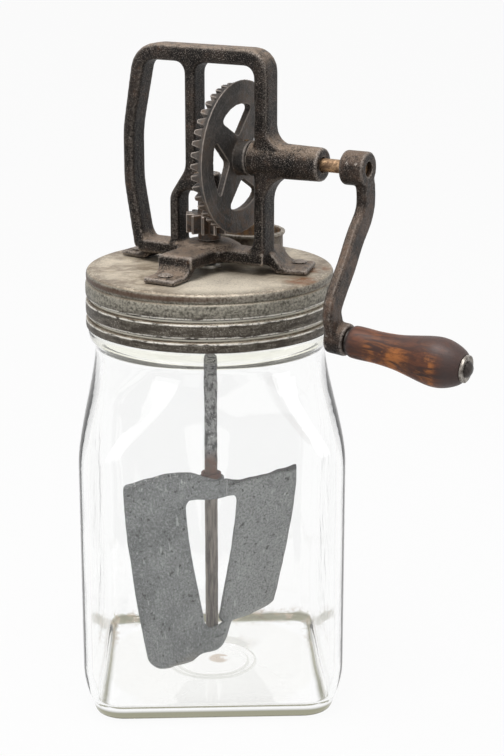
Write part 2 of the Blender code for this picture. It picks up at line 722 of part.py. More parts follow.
def make_frame():
    outlines = [rounded(frame_outline()), rounded(left_window_outline()), rounded(right_window_outline())]
    panel = moved(slab("gear_frame", outlines, FRAME_DEPTH, FRAME_EDGE, 2), TO_XZ)
    boss = rod("boss", BEARING_RADIUS, BEARING_BOTTOM, BEARING_TOP)
    plate = slab("plate", [rounded(plate_outline(), 4)], PLATE_THICKNESS, FRAME_EDGE / 2)
    plate = moved(plate, Matrix.Translation((0.0, 0.0, PLATE_BOTTOM + PLATE_THICKNESS / 2)))
    start = SIDE_FOOT_REACH - 2 * FOOT_PAD
    feet = [
        make_foot("left_foot", start, SIDE_FOOT_REACH, ARM_WIDTH - FRAME_EDGE / 2, LEFT_FOOT_TURN),
        make_foot("right_foot", start, SIDE_FOOT_REACH, RIGHT_ARM_WIDTH, RIGHT_FOOT_TURN),
        make_foot("front_foot", FRONT_FOOT_REACH - 2 * FOOT_PAD, FRONT_FOOT_REACH,
                  FRONT_ARM_WIDTH - FRAME_EDGE / 2, FRONT_FOOT_TURN),
    ]
    barrel_profile = [
        (0.0, BUSHING_END), (BUSHING_END_RADIUS - FRAME_EDGE / 3, BUSHING_END),
        (BUSHING_END_RADIUS, BUSHING_END - FRAME_EDGE / 3), (BUSHING_RADIUS, RIGHT_COLUMN_X + COLUMN_THICKNESS),
        (BUSHING_RADIUS, BUSHING_START), (0.0, BUSHING_START),
    ]
    mound_profile = [
        (0.0, PLATE_BOSS_TOP), (PLATE_BOSS_RADIUS * 0.5, PLATE_BOSS_TOP),
        (PLATE_BOSS_RADIUS * 0.75, PLATE_BOSS_TOP - PLATE_BOSS_RISE * 0.3),
        (PLATE_BOSS_RADIUS, PLATE_TOP - FRAME_EDGE / 2), (PLATE_BOSS_RADIUS, PLATE_BOTTOM + FRAME_EDGE),
        (0.0, PLATE_BOTTOM + FRAME_EDGE),
    ]
    mound = turned("mound", mound_profile, ROUND_STEPS)
    barrel = turned("barrel", barrel_profile, ROUND_STEPS)
    moved(barrel, Matrix.Translation((0.0, 0.0, SHAFT_Z)) @ Z_TO_X)
    frame = joined(panel, [boss, plate, mound] + feet + [barrel], "MANIFOLD")
    shaft_tool = cutter_rod("shaft_bore", SHAFT_BORE, BUSHING_START - OVERRUN, BUSHING_END + OVERRUN)
    moved(shaft_tool, Matrix.Translation((0.0, 0.0, SHAFT_Z)) @ Z_TO_X)
    tools = [shaft_tool]
    tools.append(cutter_rod("bearing_bore", DASHER_BORE, BEARING_BOTTOM - OVERRUN, BEARING_TOP + OVERRUN))
    tools.append(cutter_rod("plate_bore", DASHER_BORE, PLATE_BOTTOM - OVERRUN, PLATE_BOSS_TOP + OVERRUN))
    hole = RIVET_RADIUS + CLEARANCE
    for index, (x, y) in enumerate(rivet_places()):
        tool = cutter_rod(f"foot_hole_{index}", hole, LID_TOP - OVERRUN, PLATE_TOP, SMALL_STEPS)
        tools.append(moved(tool, Matrix.Translation((x, y, 0.0))))
    return finish(cut(frame, tools, "MANIFOLD"), IRON, mechanism)


def rivet_profile():
    foot_top = LID_TOP + CLEARANCE + FOOT_THICKNESS + CLEARANCE
    under = LID_UNDER - CLEARANCE
    head = RIVET_HEAD_RADIUS
    return [
        (0.0, foot_top + RIVET_HEAD), (head * 0.5, foot_top + RIVET_HEAD * 0.85),
        (head, foot_top + RIVET_HEAD * 0.2), (head, foot_top), (RIVET_RADIUS, foot_top),
        (RIVET_RADIUS, under), (head, under), (head, under - RIVET_HEAD / 2), (0.0, under - RIVET_HEAD / 2),
    ]


def make_rivets():
    for name, (x, y) in zip(("left", "right", "front"), rivet_places()):
        rivet = turned(f"foot_rivet_{name}", rivet_profile(), SMALL_STEPS)
        finish(rivet, IRON, mechanism, centre=(0.0, 0.0, LID_TOP)).location = (x, y, LID_TOP)


# Gears
def wheel_opening(index):
    """A rounded sector between two spokes, in the wheel's plane."""
    middle = SPOKE_YAW + (index + 0.5) * 2 * math.pi / SPOKES
    outer = WHEEL_RADIUS - RIM_WIDTH
    inner = WHEEL_HUB_RADIUS * 1.2
    wide = math.pi / SPOKES - math.asin(SPOKE_WIDTH / 2 / outer)
    corners = []
    steps = 6
    for step in range(steps + 1):
        turn = middle - wide + 2 * wide * step / steps
        radius = SPOKE_FILLET if step in (0, steps) else 0.0
        corners.append((outer * math.cos(turn), outer * math.sin(turn), radius))
    corners.append((inner * math.cos(middle), inner * math.sin(middle), SPOKE_WIDTH / 4))
    return rounded(corners, 3)


def wheel_tooth(work, index):
    """One straight-flanked tooth that points towards the pinion and narrows with the wheel's radius."""
    turn = 2 * math.pi * index / WHEEL_TEETH
    inner = WHEEL_RADIUS - TOOTH_WIDTH
    root_x = RIM_BACK_X + RIM_THICKNESS / 8
    spread = math.tan(FLANK_ANGLE)
    pitch_half = math.pi * TOOTH_MODULE / 4 - BACKLASH / 2
    made = bmesh.ops.create_cube(work, size=2.0)["verts"]
    for vertex in made:
        out = WHEEL_RADIUS - FRAME_EDGE / 4 if vertex.co.z > 0 else inner
        x = TOOTH_TIP_X if vertex.co.x < 0 else root_x
        half = (pitch_half + (x - PINION_PITCH_RADIUS) * spread) * out / WHEEL_PITCH_RADIUS
        across = math.copysign(half, vertex.co.y)
        vertex.co = (x, across, -out)
    bmesh.ops.rotate(work, verts=made, cent=(0.0, 0.0, 0.0), matrix=Matrix.Rotation(turn, 3, "X"))


def make_wheel():
    web_front = RIM_FRONT_X - FRAME_EDGE / 8
    web_radius = WHEEL_RADIUS - FRAME_EDGE
    openings = [wheel_opening(index) for index in range(SPOKES)]
    web = slab("drive_wheel", [circle(web_radius, FINE_STEPS)] + openings, SPOKE_THICKNESS)
    web = moved(web, Matrix.Translation((web_front - SPOKE_THICKNESS / 2, 0.0, 0.0)) @ TO_YZ)
    inner = WHEEL_RADIUS - TOOTH_WIDTH - FRAME_EDGE / 4
    rim = moved(ring("rim", inner, WHEEL_RADIUS, RIM_BACK_X, RIM_FRONT_X, WHEEL_TEETH), Z_TO_X)
    hub = rod("hub", WHEEL_HUB_RADIUS, RIM_BACK_X - FRAME_EDGE / 4, HUB_FRONT_X)
    hub = moved(bevelled(hub, FRAME_EDGE / 4, 1), Z_TO_X)
    mesh = bpy.data.meshes.new("teeth")
    work = bmesh.new()
    for index in range(WHEEL_TEETH):
        wheel_tooth(work, index)
    work.to_mesh(mesh)
    work.free()
    teeth = link("teeth", mesh, parts)
    wheel = joined(web, [rim, hub, teeth])
    bore = moved(cutter_rod("bore", SHAFT_BORE, RIM_BACK_X - OVERRUN, HUB_FRONT_X + OVERRUN), Z_TO_X)
    reach = WHEEL_HUB_RADIUS + OVERRUN
    pin_hole = cutter_rod("pin_hole", PIN_BORE, -reach, reach, SMALL_STEPS)
    moved(pin_hole, Matrix.Translation((wheel_pin_x(), 0.0, 0.0)))
    finish(cut(wheel, [bore, pin_hole]), IRON_DARK, crank_axis)


def wheel_pin_x():
    return (RIM_FRONT_X + HUB_FRONT_X) / 2


def pinion_outline():
    """Twelve straight-flanked teeth, with a gap towards the wheel."""
    pitch_half = math.pi * TOOTH_MODULE / 4 - BACKLASH / 2
    spread = math.tan(FLANK_ANGLE)
    tip = PINION_PITCH_RADIUS + ADDENDUM
    root = PINION_PITCH_RADIUS - TOOTH_HEIGHT + ADDENDUM
    points = []
    for index in range(PINION_TEETH):
        middle = 2 * math.pi * (index + 0.5) / PINION_TEETH
        for radius, side in ((root, -1), (tip, -1), (tip, 1), (root, 1)):
            half = pitch_half - (radius - PINION_PITCH_RADIUS) * spread
            turn = middle + side * math.asin(half / radius)
            points.append((radius * math.cos(turn), radius * math.sin(turn)))
    return points


def make_pinion():
    gear = slab("pinion", [pinion_outline()], PINION_FACE)
    gear = moved(gear, Matrix.Translation((0.0, 0.0, PINION_MIDDLE_Z)))
    hub = rod("hub", PINION_HUB_RADIUS, PLATE_BOSS_TOP + CLEARANCE, BEARING_BOTTOM - CLEARANCE)
    pinion = joined(gear, [hub])
    tools = [cutter_rod("bore", DASHER_BORE, PLATE_TOP - OVERRUN, BEARING_TOP)]
    pin_hole = cutter_rod("pin_hole", PIN_BORE, -PINION_PITCH_RADIUS, PINION_PITCH_RADIUS, SMALL_STEPS)
    tools.append(moved(pin_hole, Matrix.Translation((0.0, 0.0, pinion_pin_z())) @ Z_TO_X))
    finish(cut(pinion, tools), IRON_DARK, dasher_axis)


def pinion_pin_z():
    return (PINION_TOP + BEARING_BOTTOM) / 2


def make_pins():
    half = WHEEL_HUB_RADIUS
    place = Matrix.Translation((wheel_pin_x(), 0.0, 0.0))
    pin = moved(rod("wheel_pin", PIN_RADIUS, -half, half, SMALL_STEPS), place)
    finish(pin, STEEL, crank_axis)
    half = PINION_HUB_RADIUS
    pin = moved(rod("pinion_pin", PIN_RADIUS, -half, half, SMALL_STEPS), Z_TO_X)
    moved(pin, Matrix.Translation((0.0, 0.0, pinion_pin_z())))
    finish(pin, STEEL, dasher_axis)


# Crank and handle
def arm_outline():
    """The S-shaped arm, hub at the origin and handle straight below it, as (across, down) points."""
    half = CRANK_ARM_WIDTH / 2
    centres = [Vector((-side * CRANK_RADIUS, -down * CRANK_RADIUS)) for down, side in ARM_CENTRE_SHARES]
    smooth = []
    steps = 2
    for index in range(len(centres) - 1):
        p0 = centres[max(index - 1, 0)]
        p1, p2 = centres[index], centres[index + 1]
        p3 = centres[min(index + 2, len(centres) - 1)]
        for step in range(steps):
            t = step / steps
            smooth.append(0.5 * ((2 * p1) + (p2 - p0) * t + (2 * p0 - 5 * p1 + 4 * p2 - p3) * t * t
                                 + (3 * p1 - p0 - 3 * p2 + p3) * t ** 3))
    smooth.append(centres[-1])
    left, right = [], []
    for index, point in enumerate(smooth):
        along = (smooth[min(index + 1, len(smooth) - 1)] - smooth[max(index - 1, 0)]).normalized()
        across = Vector((-along.y, along.x)) * half
        left.append(tuple(point + across))
        right.append(tuple(point - across))
    return left + right[::-1]


def make_crank():
    """The crank in its own rest position: its local -Z runs from the hub to the handle."""
    arm = slab("crank_arm", [arm_outline()], CRANK_ARM_THICKNESS, FRAME_EDGE * 0.6)
    arm = moved(arm, Matrix.Translation((CRANK_ARM_X + CRANK_ARM_THICKNESS / 2, 0.0, 0.0)) @ TO_YZ)
    hub = rod("hub", CRANK_HUB_RADIUS, CRANK_HUB_X, CRANK_HUB_END + FRAME_EDGE / 4)
    hub = moved(bevelled(hub, FRAME_EDGE / 3, 1), Z_TO_X)
    boss = rod("boss", CRANK_BOSS_RADIUS, CRANK_ARM_X - FRAME_EDGE / 4, CRANK_BOSS_END)
    to_arm = Matrix.Translation((HANDLE_PIVOT_X, 0.0, -CRANK_RADIUS)) @ handle_tilt()
    boss = moved(bevelled(boss, FRAME_EDGE / 3, 1), to_arm)
    crank = joined(arm, [hub, boss])
    shaft_tool = moved(cutter_rod("bore", SHAFT_BORE, CRANK_HUB_X - OVERRUN, CRANK_HUB_END + OVERRUN), Z_TO_X)
    spindle_tool = cutter_rod("spindle_bore", SPINDLE_RADIUS + CLEARANCE, CRANK_ARM_X - OVERRUN, HANDLE_X)
    moved(spindle_tool, to_arm)
    crank = cut(crank, [shaft_tool, spindle_tool])
    finish(moved(crank, crank_turn()), IRON, crank_axis)


def crank_turn():
    return Matrix.Rotation(-CRANK_REST_ANGLE, 4, "X")


def handle_place():
    """Places a piece that was turned about Z on the handle's axis, in the crank's frame."""
    return crank_turn() @ Matrix.Translation((HANDLE_PIVOT_X, 0.0, -CRANK_RADIUS)) @ handle_tilt()


def handle_tilt():
    """Leans the handle's axis about its place in the arm, for a piece turned about Z."""
    return Matrix.Rotation(HANDLE_DROOP, 4, "Y") @ Matrix.Translation((-HANDLE_PIVOT_X, 0.0, 0.0)) @ Z_TO_X


def make_crank_shaft():
    start = RIM_BACK_X
    end = CRANK_HUB_END - FRAME_EDGE
    shaft = moved(rod("crank_shaft", CRANK_SHAFT_RADIUS, start, end), Z_TO_X)
    pin_hole = cutter_rod("pin_hole", PIN_BORE, -WHEEL_HUB_RADIUS, WHEEL_HUB_RADIUS, SMALL_STEPS)
    moved(pin_hole, Matrix.Translation((wheel_pin_x(), 0.0, 0.0)))
    finish(cut(shaft, [pin_hole]), STEEL, crank_axis)


def make_spindle():
    tail = CRANK_ARM_X - FRAME_EDGE / 4 - CLEARANCE
    tail_end = tail - WASHER_THICKNESS
    head = SPINDLE_HEAD_X
    profile = [
        (0.0, head + SPINDLE_HEAD), (SPINDLE_HEAD_RADIUS * 0.55, head + SPINDLE_HEAD * 0.85),
        (SPINDLE_HEAD_RADIUS * 0.9, head + SPINDLE_HEAD * 0.45), (SPINDLE_HEAD_RADIUS, head),
        (SPINDLE_RADIUS, head), (SPINDLE_RADIUS, tail), (SPINDLE_HEAD_RADIUS, tail),
        (SPINDLE_HEAD_RADIUS * 0.8, tail_end), (0.0, tail_end),
    ]
    spindle = moved(turned("handle_spindle", profile, SMALL_STEPS), handle_place())
    finish(spindle, STEEL, crank_axis)
    bore = SPINDLE_RADIUS + CLEARANCE
    end = INNER_WASHER_X + WASHER_THICKNESS
    inner = ring("handle_inner_washer", bore, INNER_WASHER_RADIUS, INNER_WASHER_X, end)
    finish(moved(inner, handle_place()), STEEL, crank_axis)
    outer_radius = HANDLE_TIP_RADIUS - FRAME_EDGE / 4
    outer = ring("handle_end_washer", bore, outer_radius, OUTER_WASHER_X, OUTER_WASHER_X + WASHER_THICKNESS)
    finish(moved(outer, handle_place()), BRIGHT_STEEL, crank_axis)


def handle_profile():
    """The turned grip from its outer tip to the crank, as (radius, station)."""
    end = HANDLE_X + HANDLE_LENGTH
    station_shares = [
        (HANDLE_TIP_RADIUS, 1.0), (HANDLE_TIP_RADIUS + FRAME_EDGE * 0.8, 0.972),
        (HANDLE_SWELL_RADIUS * 0.88, 0.90), (HANDLE_SWELL_RADIUS * 0.985, 0.82),
        (HANDLE_SWELL_RADIUS, 0.75), (HANDLE_SWELL_RADIUS * 0.95, 0.67), (HANDLE_SWELL_RADIUS * 0.84, 0.56),
        (HANDLE_SWELL_RADIUS * 0.73, 0.44), (HANDLE_NECK_RADIUS * 1.03, 0.33),
        (HANDLE_NECK_RADIUS, 0.22), (HANDLE_NECK_RADIUS * 1.05, 0.11), (HANDLE_END_RADIUS, 0.045),
        (HANDLE_END_RADIUS * 0.93, 0.0),
    ]
    outside = [(radius, end - HANDLE_LENGTH * (1 - share)) for radius, share in station_shares]
    bore = SPINDLE_RADIUS + CLEARANCE
    return [(bore, end)] + outside + [(bore, HANDLE_X)]


def make_handle():
    grip = turned("wooden_handle", handle_profile(), ROUND_STEPS, closed=True)
    grip = moved(grip, crank_turn() @ handle_tilt())
    finish(grip, WOOD, handle_axis)


# Dasher
def blade_row_shares():
    """Row heights as shares of the blade's height, each with its share of the lip's bend."""
    web_share = BLADE_WEB / BLADE_HEIGHT
    slot_shares = [web_share + (1 - 2 * web_share) * step / 7 for step in range(8)]
    low = [(0.0, 1.0), (web_share / 2, 0.3)]
    return low + [(share, 0.0) for share in slot_shares] + [(1 - web_share / 2, 0.3), (1.0, 1.0)]


def make_blade():
    """A sheet with a tapered slot, twisted about the shaft and bent over at its long edges."""
    row_shares = blade_row_shares()
    last_row = len(row_shares) - 1
    columns = 10
    mesh = bpy.data.meshes.new("dasher_blade")
    work = bmesh.new()
    bmesh.ops.create_grid(work, x_segments=columns, y_segments=last_row, size=1.0)
    slot_faces = []
    for face in work.faces:
        middle = face.calc_center_median()
        column = (middle.x + 1) / 2 * columns
        row = (middle.y + 1) / 2 * last_row
        if 3 < column < 7 and 2 < row < last_row - 2:
            slot_faces.append(face)
    bmesh.ops.delete(work, geom=slot_faces, context="FACES")
    web_offset = DASHER_BORE + BLADE_SHEET / 2
    for vertex in work.verts:
        column = round((vertex.co.x + 1) / 2 * columns)
        row = round((vertex.co.y + 1) / 2 * last_row)
        share, bend = row_shares[row]
        side = column - columns / 2
        slot = BLADE_SLOT_BOTTOM + (BLADE_SLOT_TOP - BLADE_SLOT_BOTTOM) * share
        reach = abs(side)
        edge = BLADE_HALF_WIDTH - (FRAME_EDGE * 1.4 if row in (0, last_row) else 0.0)
        if reach <= 2:
            across = slot * reach / 2
        else:
            across = slot + (edge - slot) * (reach - 2) / 3
        web_row = row <= 2 or row >= last_row - 2
        offset = {0: 1.0, 1: 0.95, 2: 0.35}.get(int(reach), 0.0) if web_row else 0.0
        lip = bend * BLADE_LIP if reach > 2 else 0.0
        out = math.copysign(across, side) if side else 0.0
        away = -web_offset * offset - math.copysign(lip, -side)
        yaw = BLADE_YAW_BOTTOM + (BLADE_YAW_TOP - BLADE_YAW_BOTTOM) * share
        x = out * math.cos(yaw) - away * math.sin(yaw)
        y = out * math.sin(yaw) + away * math.cos(yaw)
        vertex.co = (x, y, BLADE_BOTTOM + BLADE_HEIGHT * share)
    work.to_mesh(mesh)
    work.free()
    sheet = link("dasher_blade", mesh, parts)
    skin = sheet.modifiers.new("sheet", "SOLIDIFY")
    skin.thickness = BLADE_SHEET
    skin.offset = 0.0
    skin.use_even_offset = True
    sheet = solid_from(sheet)
    tabs = []
    for name, base in (("upper_tab", blade_tab_top()), ("lower_tab", blade_tab_bottom())):
        tabs.append(rod(name, BLADE_TAB_RADIUS, base, base + BLADE_TAB_THICKNESS))
    blade = joined(sheet, tabs)
    bore = cutter_rod("bore", DASHER_BORE, BLADE_BOTTOM - OVERRUN, BLADE_BOTTOM + BLADE_HEIGHT + OVERRUN)
    finish(cut(blade, [bore], "MANIFOLD"), ZINC, dasher_axis)


def blade_tab_top():
    return BLADE_BOTTOM + BLADE_HEIGHT + BLADE_SHEET / 4 - BLADE_TAB_THICKNESS


def blade_tab_bottom():
    return BLADE_BOTTOM - BLADE_SHEET / 4


def make_dasher_shaft():
    bottom = blade_tab_bottom() - CLEARANCE
    shaft = rod("dasher_shaft", DASHER_SHAFT_RADIUS, bottom, BEARING_TOP - CLEARANCE)
    pin_hole = cutter_rod("pin_hole", PIN_BORE, -PINION_PITCH_RADIUS, PINION_PITCH_RADIUS, SMALL_STEPS)
    moved(pin_hole, Matrix.Translation((0.0, 0.0, pinion_pin_z())) @ Z_TO_X)
    finish(cut(shaft, [pin_hole]), SHAFT_STEEL, dasher_axis)


def make_shaft_rings():
    """The ring that seats on the blade's upper tab."""
    outer = BLADE_TAB_RADIUS - FRAME_EDGE
    upper = blade_tab_top() + BLADE_TAB_THICKNESS + CLEARANCE
    finish(ring("blade_upper_ring", DASHER_BORE, outer, upper, upper + FRAME_EDGE), RUST, dasher_axis)


clear_scene()
parts = new_collection(COLLECTION_NAME)
cutters = new_collection(CUTTER_COLLECTION_NAME)

GLASS = material("clear_glass", (0.93, 0.96, 0.94), 0.05, 0.0, 0.95)
TIN = material("weathered_tin", (0.36, 0.32, 0.26), 0.55, 0.7)
BRIGHT_TIN = material("bright_tin", (0.70, 0.68, 0.62), 0.35, 0.9)
RUST = material("rusted_tin", (0.30, 0.13, 0.05), 0.85, 0.2)
SEAL = material("waxed_seal", (0.62, 0.55, 0.40), 0.80, 0.0)
IRON = material("worn_iron", (0.10, 0.075, 0.06), 0.50, 0.7)
IRON_DARK = material("gear_iron", (0.12, 0.10, 0.09), 0.50, 0.75)
STEEL = material("shaft_steel", (0.33, 0.25, 0.19), 0.45, 0.85)
BRIGHT_STEEL = material("bright_steel", (0.60, 0.57, 0.52), 0.30, 0.95)
SHAFT_STEEL = material("dasher_steel", (0.30, 0.25, 0.21), 0.55, 0.75)
ZINC = material("grey_zinc", (0.33, 0.34, 0.34), 0.55, 0.7)
WOOD = material("varnished_wood", (0.22, 0.075, 0.025), 0.38, 0.0)

mechanism = empty("mechanism_frame", (0.0, 0.0, 0.0), None, FRAME_YAW)
crank_axis = empty("crank_axis", (0.0, 0.0, SHAFT_Z), mechanism)
handle_y = -CRANK_RADIUS * math.sin(CRANK_REST_ANGLE)
handle_z = -CRANK_RADIUS * math.cos(CRANK_REST_ANGLE)
handle_axis = empty("handle_axis", (HANDLE_PIVOT_X, handle_y, handle_z), crank_axis)
dasher_axis = empty("dasher_axis", (0.0, 0.0, 0.0), mechanism)

make_jar()
make_seal()
make_lid()
make_sleeve()
make_filler()
make_frame()
make_rivets()
make_wheel()
make_pinion()
make_pins()
make_crank()
make_crank_shaft()
make_spindle()
make_handle()
make_blade()
make_dasher_shaft()
make_shaft_rings()
bpy.context.view_layer.update()
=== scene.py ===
# %% [markdown]
# # A hand-cranked butter churn
# A square glass jar stands under a threaded tin lid. An iron frame on the lid carries a face gear, a
# pinion and a crank, and the pinion's shaft turns a twisted sheet dasher inside the jar. The solids come
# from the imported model. This script gives them their finishes, and rounds or rebuilds the ones that show
# from close by.

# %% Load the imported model
import json
import math

import bmesh
import bpy
from mathutils import Matrix, Vector

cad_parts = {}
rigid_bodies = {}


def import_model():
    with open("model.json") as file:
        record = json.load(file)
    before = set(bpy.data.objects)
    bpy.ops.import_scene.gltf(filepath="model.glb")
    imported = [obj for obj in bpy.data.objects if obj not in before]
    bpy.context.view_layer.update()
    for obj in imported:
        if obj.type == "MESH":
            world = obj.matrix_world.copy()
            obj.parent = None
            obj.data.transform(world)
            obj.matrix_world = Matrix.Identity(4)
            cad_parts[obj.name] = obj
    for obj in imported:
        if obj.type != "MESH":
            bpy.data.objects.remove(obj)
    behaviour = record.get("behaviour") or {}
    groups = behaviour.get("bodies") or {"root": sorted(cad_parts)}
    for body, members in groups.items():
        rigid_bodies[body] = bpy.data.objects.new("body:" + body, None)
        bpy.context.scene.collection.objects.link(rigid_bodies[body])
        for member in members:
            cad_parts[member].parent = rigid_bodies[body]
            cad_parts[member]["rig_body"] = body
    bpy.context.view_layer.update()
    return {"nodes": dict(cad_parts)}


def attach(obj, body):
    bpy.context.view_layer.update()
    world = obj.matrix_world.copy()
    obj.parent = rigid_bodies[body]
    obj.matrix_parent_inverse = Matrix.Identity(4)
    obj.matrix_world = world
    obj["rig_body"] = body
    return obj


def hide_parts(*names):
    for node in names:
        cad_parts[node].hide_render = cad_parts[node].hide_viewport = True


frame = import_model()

NODES = frame["nodes"]

# %% [markdown]
# ## Camera
# The viewing angle was found by fitting a camera to the lid's ellipse, the jar's base and the axis. A
# 90 mm lens about 0.85 m away gives the mild perspective of a product picture.

# %% Camera
CAMERA_PLACE = (-0.0140, -0.8497, 0.3946)
CAMERA_TURN = (73.8, 0.0, -2.25)
CAMERA_LENS = 90.476

camera_data = bpy.data.cameras.new("studio_camera")
camera_data.lens = CAMERA_LENS
camera_data.sensor_width = 36.0
camera_data.clip_end = 50.0
camera = bpy.data.objects.new("studio_camera", camera_data)
bpy.context.scene.collection.objects.link(camera)
camera.location = CAMERA_PLACE
camera.rotation_euler = [math.radians(angle) for angle in CAMERA_TURN]
bpy.context.scene.camera = camera
bpy.context.scene.view_settings.view_transform = "Standard"
print("camera", CAMERA_LENS, "mm at", CAMERA_PLACE)

# %% [markdown]
# ## Writing shaders as expressions
# A finish is mostly arithmetic on noise. This class wraps one output of a node, so that `0.5 - spots * 2`
# adds the Math nodes by itself. Every other kind of node comes from the one method `node`.

# %% A wrapper for shader sockets
class Wire:
    """One output of a shader node. Arithmetic on it adds Math nodes to the same tree."""

    def __init__(self, tree, socket=None):
        self.tree = tree
        self.socket = socket

    def node(self, kind, settings=None, sockets=None, output=0):
        """Adds a node: its type, its settings, and the values or links of its sockets."""
        made = self.tree.nodes.new(kind)
        for name, value in (settings or {}).items():
            setattr(made, name, value)
        for name, value in (sockets or {}).items():
            if isinstance(value, Wire):
                self.tree.links.new(value.socket, made.inputs[name])
            else:
                made.inputs[name].default_value = value
        return Wire(self.tree, made.outputs[output])

    def maths(self, operation, first, second=0.0):
        """One Math node on two numbers or sockets."""
        return self.node("ShaderNodeMath", {"operation": operation}, {0: first, 1: second})

    def __add__(self, other):
        return self.maths("ADD", self, other)

    __radd__ = __add__

    def __sub__(self, other):
        return self.maths("SUBTRACT", self, other)

    def __rsub__(self, other):
        return self.maths("SUBTRACT", other, self)

    def __mul__(self, other):
        return self.maths("MULTIPLY", self, other)

    __rmul__ = __mul__

    def __truediv__(self, other):
        return self.maths("DIVIDE", self, other)

    def larger(self, other):
        """The larger of two values."""
        return self.maths("MAXIMUM", self, other)

    def ramp(self, low, high, start=0.0, finish=1.0):
        """Eases from start to finish while this value goes from low to high."""
        sockets = {0: self, 1: low, 2: high, 3: start, 4: finish}
        return self.node("ShaderNodeMapRange", {"interpolation_type": "SMOOTHSTEP"}, sockets)

    def fade(self, low, high):
        """1 while this value is below low, easing to 0 at high."""
        return self.ramp(low, high, 1.0, 0.0)

    def mix(self, first, second):
        """A colour between two others, with this value as the share of the second."""
        pair = [colour if isinstance(colour, Wire) else (*colour, 1.0) for colour in (first, second)]
        return self.node("ShaderNodeMix", {"data_type": "RGBA"}, {0: self, 6: pair[0], 7: pair[1]}, 2)

    def away(self, level):
        """How far this value is from level, to either side."""
        return self.maths("ABSOLUTE", self - level)

    def near(self, level, reach):
        """1 where this value is at level, fading to 0 at reach to both sides."""
        return self.away(level).fade(reach * 0.25, reach)

    def part(self, axis):
        """One number of a vector."""
        return self.node("ShaderNodeSeparateXYZ", None, {0: self}, axis)

    def scaled(self, x, y, z):
        """This vector with each of its numbers multiplied by one of its own."""
        return self.node("ShaderNodeVectorMath", {"operation": "MULTIPLY"}, {0: self, 1: (x, y, z)})

    def distance(self, point):
        """Distance of this place from a point."""
        return self.node("ShaderNodeVectorMath", {"operation": "DISTANCE"}, {0: self, 1: point}, "Value")

    def noise(self, size, detail=4.0, roughness=0.55, distortion=0.0):
        """Noise over this vector, with features about as large as size, in metres."""
        sockets = {"Vector": self, "Scale": 1 / size, "Detail": detail, "Roughness": roughness}
        sockets["Distortion"] = distortion
        return self.node("ShaderNodeTexNoise", None, sockets)


def new_finish(name):
    """A fresh material, its shader node, and its object coordinates as a Wire."""
    made = bpy.data.materials.new(name)
    made.use_nodes = True
    shader = made.node_tree.nodes["Principled BSDF"]
    place = Wire(made.node_tree).node("ShaderNodeTexCoord", output=3)
    return made, shader, place


def feed(shader, **values):
    """Sets or links the shader's sockets. An underscore in a name stands for a space."""
    for name, value in values.items():
        socket = shader.inputs[name.replace("_", " ")]
        if isinstance(value, Wire):
            value.tree.links.new(value.socket, socket)
        else:
            socket.default_value = value


def bump(height, depth, strength=1.0):
    """A normal from a height map whose full range is depth metres."""
    return height.node("ShaderNodeBump", None, {"Height": height, "Distance": depth, "Strength": strength})


print("shader wrapper ready")

# %% [markdown]
# ## Studio
# Product pictures like this one are lit by a large soft box overhead and a weaker fill from the front,
# over white paper. Rays from the camera, from gloss and through glass see the room and the paper as
# white, so that glass and metal show a white studio without more light on them. The paper keeps a faint
# shadow.

# %% World, paper and lamps
ROOM_LIGHT = 0.24
PAPER_WHITE = 0.95
PAPER_GREY = (0.60, 0.60, 0.60, 1.0)
WHITE = (1.0, 1.0, 1.0, 1.0)
FLOOR_SIZE = 14.0


def seen_directly(start):
    """1 for rays from the camera, from gloss and through glass, else 0."""
    camera_ray = start.node("ShaderNodeLightPath", output="Is Camera Ray")
    glossy_ray = start.node("ShaderNodeLightPath", output="Is Glossy Ray")
    through_ray = start.node("ShaderNodeLightPath", output="Is Transmission Ray")
    return camera_ray.larger(glossy_ray).larger(through_ray)


def close_tree(shown, kind):
    """Links a finished shader to a new output node of its tree."""
    output = shown.tree.nodes.new(kind)
    shown.tree.links.new(shown.socket, output.inputs[0])


def make_world():
    """Soft room light on the object, and plain white behind it."""
    world = bpy.data.worlds.new("white_room")
    world.use_nodes = True
    world.node_tree.nodes.clear()
    start = Wire(world.node_tree)
    soft = start.node("ShaderNodeBackground", None, {"Color": WHITE, "Strength": ROOM_LIGHT})
    white = start.node("ShaderNodeBackground", None, {"Color": WHITE, "Strength": 1.0})
    shown = start.node("ShaderNodeMixShader", None, {0: seen_directly(start), 1: soft, 2: white})
    close_tree(shown, "ShaderNodeOutputWorld")
    bpy.context.scene.world = world


def make_paper():
    """The floor the jar stands on: grey enough to take a shadow, and white where it is seen."""
    mesh = bpy.data.meshes.new("white_paper")
    work = bmesh.new()
    bmesh.ops.create_grid(work, x_segments=1, y_segments=1, size=FLOOR_SIZE / 2)
    work.to_mesh(mesh)
    work.free()
    paper = bpy.data.objects.new("white_paper", mesh)
    bpy.context.scene.collection.objects.link(paper)
    made = bpy.data.materials.new("white_paper")
    made.use_nodes = True
    made.node_tree.nodes.clear()
    start = Wire(made.node_tree)
    matte = start.node("ShaderNodeBsdfDiffuse", None, {"Color": PAPER_GREY})
    white = start.node("ShaderNodeEmission", None, {"Color": WHITE, "Strength": 1.0})
    share = seen_directly(start) * PAPER_WHITE
    shown = start.node("ShaderNodeMixShader", None, {0: share, 1: matte, 2: white})
    close_tree(shown, "ShaderNodeOutputMaterial")
    mesh.materials.append(made)


def soft_box(name, place, target, size, power):
    """A square lamp at place, size metres wide, that points at target. Its power is in watts."""
    light = bpy.data.lights.new(name, "AREA")
    light.shape = "SQUARE"
    light.size = size
    light.energy = power
    lamp = bpy.data.objects.new(name, light)
    bpy.context.scene.collection.objects.link(lamp)
    lamp.location = place
    lamp.rotation_euler = (Vector(target) - Vector(place)).to_track_quat("-Z", "Y").to_euler()


